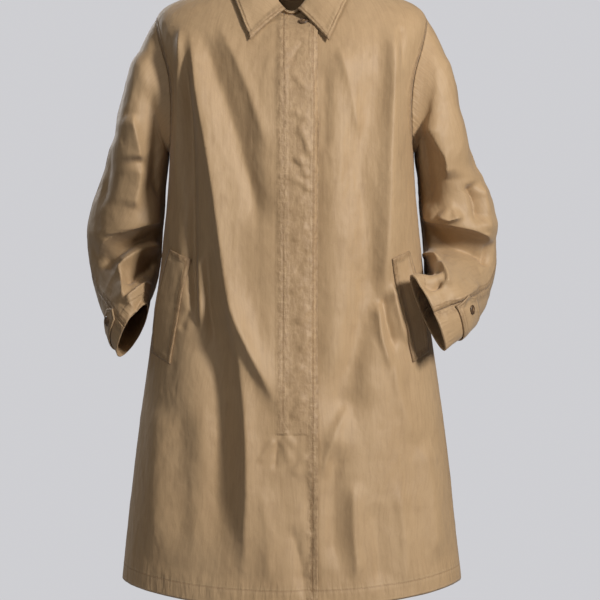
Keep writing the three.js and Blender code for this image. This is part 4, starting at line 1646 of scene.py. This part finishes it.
@dataclass
class PocketWelt:
    """A slanted welt: its seam edge lies on the coat and its free edge stands off it."""

    side: Side
    seam_top: tuple[float, float]
    mouth_top: tuple[float, float]
    seam_low: tuple[float, float]
    mouth_low: tuple[float, float]
    cloth: float = 2.2
    lift: float = 0.5
    gape: float = 8.0

    def make(self, cotton: bpy.types.Material, sewing: Stitching) -> None:
        """Builds the welt.

        Args:
            cotton: Its finish.
            sewing: The rows of stitching that it adds to.
        """
        rows, columns = 60, 14
        level = np.linspace(0, 1, rows + 1)[:, None]
        share = np.linspace(0, 1, columns + 1)[None, :]
        place = []
        for i in (0, 1):
            top = mix(self.seam_top[i], self.mouth_top[i], share)
            low = mix(self.seam_low[i], self.mouth_low[i], share)
            place.append(mix(top, low, level))
        angle, down = BODY.front_spot(place[0], place[1])
        normal = BODY.normal(angle, down)
        gape = self.gape * np.sin(math.pi * level) * share**1.5
        base = BODY.form(angle, down) + normal * (self.cloth + self.lift + gape)[..., None]
        sheet = Sheet(f"pocket_welt_{self.side.word}_cloth", base, normal, self.cloth)
        across, along = sheet.spans()
        border = np.minimum.reduce([across, along, along[-1:, :] - along])
        free = across[:, -1:] - across
        line = np.minimum.reduce([np.abs(border - 2), np.abs(border - 7), np.abs(free - 6), border])
        marks = {"line": line, "down_seam": edge_marks([border - 3, free - 4], 10), "hem_seam": border * 0}
        piece = sheet.build(**marks)
        dress(piece, f"pocket_welt_{self.side.word}", cotton)
        run = np.arange(0.5, rows - 0.5, 0.2)
        width = float(across[:, -1].mean())
        for inset in (2.0, 7.0, width - 6.0):
            sewing.run(*sheet.sampler(run, np.full_like(run, inset / width * columns)))


# Buttons


@dataclass
class Button:
    """A round four-hole button with a raised rim, sewn on with crossed thread."""

    name: str
    place: Array
    normal: Array
    radius: float = 8.0
    thick: float = 2.3
    rim: float = 1.5
    hole: float = 1.0
    hole_spacing: float = 2.0

    def frame(self) -> Matrix:
        """The button's own axes in the coat's frame, in metres."""
        turn = Vector((0, 0, 1)).rotation_difference(Vector(self.normal)).to_matrix().to_4x4()
        return Matrix.Translation(Vector(self.place) * MM) @ turn @ Matrix.Scale(MM, 4)

    def make(self, horn: bpy.types.Material, thread: bpy.types.Material) -> None:
        """Builds the disc, its rim and its thread.

        Args:
            horn: The button's finish.
            thread: The thread's finish.
        """
        bm = bmesh.new()
        self.disc(bm)
        self.ring(bm)
        bmesh.ops.transform(bm, matrix=self.frame(), verts=bm.verts)
        bmesh.ops.recalc_face_normals(bm, faces=bm.faces)
        piece = self.to_object(bm, f"{self.name}_horn")
        dress(piece, self.name, horn)
        self.sew_on(thread)

    def disc(self, bm: bmesh.types.BMesh) -> None:
        """The flat middle, with its four holes right through.

        Args:
            bm: The mesh in the making.
        """
        rings = bmesh.ops.create_circle(bm, segments=40, radius=self.radius - self.rim * 0.6)["verts"]
        for x in (-self.hole_spacing, self.hole_spacing):
            for y in (-self.hole_spacing, self.hole_spacing):
                at = Matrix.Translation((x, y, 0))
                rings += bmesh.ops.create_circle(bm, segments=12, radius=self.hole, matrix=at)["verts"]
        bmesh.ops.translate(bm, verts=rings, vec=(0, 0, self.thick * 0.2))
        made = bmesh.ops.triangle_fill(bm, edges=bm.edges[:], use_beauty=True)
        faces = [g for g in made["geom"] if isinstance(g, bmesh.types.BMFace)]
        grown = bmesh.ops.extrude_face_region(bm, geom=faces)
        tops = [g for g in grown["geom"] if isinstance(g, bmesh.types.BMVert)]
        bmesh.ops.translate(bm, verts=tops, vec=(0, 0, self.thick * 0.6))

    def ring(self, bm: bmesh.types.BMesh) -> None:
        """The raised rim, a rounded section spun round.

        Args:
            bm: The mesh in the making.
        """
        middle = self.radius - self.rim
        section = []
        for i in range(10):
            turn = 2 * math.pi * i / 10
            section.append(
                bm.verts.new((middle + self.rim * math.cos(turn), 0, self.thick / 2 * (1 + math.sin(turn))))
            )
        edges = [bm.edges.new((section[i], section[(i + 1) % 10])) for i in range(10)]
        bmesh.ops.spin(
            bm, geom=[*section, *edges], cent=(0, 0, 0), axis=(0, 0, 1), angle=2 * math.pi, steps=48, use_merge=True
        )

    def sew_on(self, thread: bpy.types.Material) -> None:
        """The crossed thread through the holes.

        Args:
            thread: The thread's finish.
        """
        bm = bmesh.new()
        reach = self.hole_spacing * 2 * math.sqrt(2)
        for angle in (45, 135):
            for shift in (-0.35, 0, 0.35):
                turn = Matrix.Rotation(math.radians(angle), 4, "Z")
                at = Matrix.Translation((0, shift, self.thick * 0.8 + 0.3)) @ Matrix.Diagonal((reach, 0.4, 0.5, 1))
                made = bmesh.ops.create_cube(bm, size=1, matrix=turn @ at)
                edges = {e for v in made["verts"] for e in v.link_edges}
                bmesh.ops.bevel(
                    bm, geom=list(edges), offset=0.15, segments=2, affect="EDGES", profile=0.5, material=-1
                )
        bmesh.ops.transform(bm, matrix=self.frame(), verts=bm.verts)
        piece = self.to_object(bm, f"{self.name}_thread")
        piece.data.materials.append(thread)
        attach(piece, "root")

    @staticmethod
    def to_object(bm: bmesh.types.BMesh, name: str) -> bpy.types.Object:
        """Makes an object of a mesh in the making.

        Args:
            bm: The mesh in the making, which it uses up.
            name: The object's name.

        Returns:
            The object, smooth but for its sharp edges.
        """
        mesh = bpy.data.meshes.new(name)
        bm.to_mesh(mesh)
        bm.free()
        for polygon in mesh.polygons:
            polygon.use_smooth = True
        mesh.set_sharp_from_angle(angle=math.radians(40))
        return add_object(name, mesh)


# The studio


@dataclass(frozen=True)
class Lamp:
    """A soft rectangular light aimed at the coat."""

    name: str
    place: tuple[float, float, float]
    size: tuple[float, float]
    watts: float
    colour: tuple[float, float, float] = (1, 1, 1)
    aim: tuple[float, float, float] = (0, 0, -0.5)

    def hang(self) -> None:
        """Adds the light to the scene."""
        data = bpy.data.lights.new(self.name, "AREA")
        data.shape = "RECTANGLE"
        data.size, data.size_y = self.size
        data.energy = self.watts
        data.color = self.colour
        lamp = bpy.data.objects.new(self.name, data)
        lamp.location = self.place
        lamp.rotation_euler = (Vector(self.aim) - Vector(self.place)).to_track_quat("-Z", "Y").to_euler()
        bpy.context.scene.collection.objects.link(lamp)


@dataclass(frozen=True)
class Studio:
    """The camera, the lights, the floor and the pale room."""

    target: tuple[float, float, float] = (0.014, 0.0, -0.551)
    distance: float = 2.8
    view_width: float = 1.02
    floor_z: float = -1.46
    floor_radius: float = 1.3
    room_light: float = 0.09
    room: Colour = (0.62, 0.62, 0.645, 1)
    lamps: tuple[Lamp, ...] = (
        Lamp("key", (1.85, -2.1, 0.62), (0.35, 0.7), 100, (1.0, 0.98, 0.95)),
        Lamp("fill", (-1.6, -2.5, 0.2), (1.6, 2.2), 7, (1.0, 0.96, 0.9)),
        Lamp("front", (-0.9, -2.7, 1.1), (0.4, 0.4), 10, (1.0, 0.97, 0.93)),
        Lamp("rim", (-1.6, 2.0, 0.9), (1.2, 1.6), 34),
        Lamp("top", (0.4, -0.6, 1.9), (1.2, 1.2), 8),
    )

    def set_up(self) -> None:
        """Adds everything that isn't the coat."""
        scene = bpy.context.scene
        data = bpy.data.cameras.new("camera")
        data.sensor_width = 36
        data.lens = 36 * self.distance / self.view_width
        camera = bpy.data.objects.new("camera", data)
        camera.location = Vector(self.target) - Vector((0, self.distance, 0))
        camera.rotation_euler = (math.pi / 2, 0, 0)
        scene.collection.objects.link(camera)
        scene.camera = camera
        for lamp in self.lamps:
            lamp.hang()
        self.lay_floor()
        self.paint_room()
        scene.view_settings.view_transform = "Standard"

    def lay_floor(self) -> None:
        """Adds a round pale floor."""
        bm = bmesh.new()
        bmesh.ops.create_circle(bm, cap_ends=True, segments=96, radius=self.floor_radius)
        bmesh.ops.translate(bm, verts=bm.verts, vec=(0, 0, self.floor_z))
        mesh = bpy.data.meshes.new("floor")
        bm.to_mesh(mesh)
        bm.free()
        paint = Paint("pale_floor")
        space = paint.node("TexCoord").outputs["Object"]
        speck = paint.grain(space, (40, 40, 40), 3)
        colour = paint.blend(speck * 0.2, (0.62, 0.62, 0.64, 1), (0.56, 0.56, 0.58, 1))
        mesh.materials.append(paint.surface(Base_Color=colour, Roughness=0.8))
        add_object("floor", mesh)

    def paint_room(self) -> None:
        """Gives the room its even pale grey, and less of it as light."""
        world = bpy.data.worlds.new("room")
        bpy.context.scene.world = world
        world.use_nodes = True
        nodes, links = world.node_tree.nodes, world.node_tree.links
        back = nodes["Background"]
        back.inputs["Color"].default_value = self.room
        rays = nodes.new("ShaderNodeLightPath")
        level = nodes.new("ShaderNodeMapRange")
        level.inputs["To Min"].default_value = self.room_light
        level.inputs["To Max"].default_value = 1.0
        links.new(rays.outputs["Is Camera Ray"], level.inputs["Value"])
        links.new(level.outputs["Result"], back.inputs["Strength"])


def neck_button() -> Button:
    """The button half under the right end of the collar."""
    angle, down = BODY.front_spot(np.array([20.0]), np.array([-97.0]))
    place, normal = BODY.form(angle, down), BODY.normal(angle, down)
    return Button("neck_button", (place + normal * (TOP_LIFT + 0.8))[0], normal[0])


def main() -> None:
    """Builds the coat and its studio, piece by piece."""
    logging.basicConfig(level=logging.INFO, format="%(name)s: %(message)s")
    Studio().set_up()
    cotton = WashedCotton().make()
    thread = SewingThread().make()
    horn = DarkHorn().make()

    body_sewing = Stitching("body_stitching")
    for side in (Side.RIGHT, Side.LEFT):
        FrontPanel(side).make(cotton, body_sewing)
    BackPanel().make(cotton, body_sewing)
    body_sewing.finish(thread)

    trim_sewing = Stitching("trim_stitching")
    Collar().make(cotton, trim_sewing)
    PocketWelt(Side.LEFT, (160, -484), (191, -470), (198, -653), (226, -637)).make(cotton, trim_sewing)
    PocketWelt(Side.RIGHT, (-168, -484), (-200, -467), (-198, -656), (-231, -638)).make(cotton, trim_sewing)
    buttons = [neck_button()]
    for side in Side:
        sleeve = Sleeve(side)
        sleeve.make(cotton, trim_sewing)
        sleeve.tab(cotton, trim_sewing)
        buttons.append(Button(f"cuff_button_{side.word}", *sleeve.button_place()))
    trim_sewing.finish(thread)
    for button in buttons:
        button.make(horn, thread)


if __name__ == "__main__":
    main()
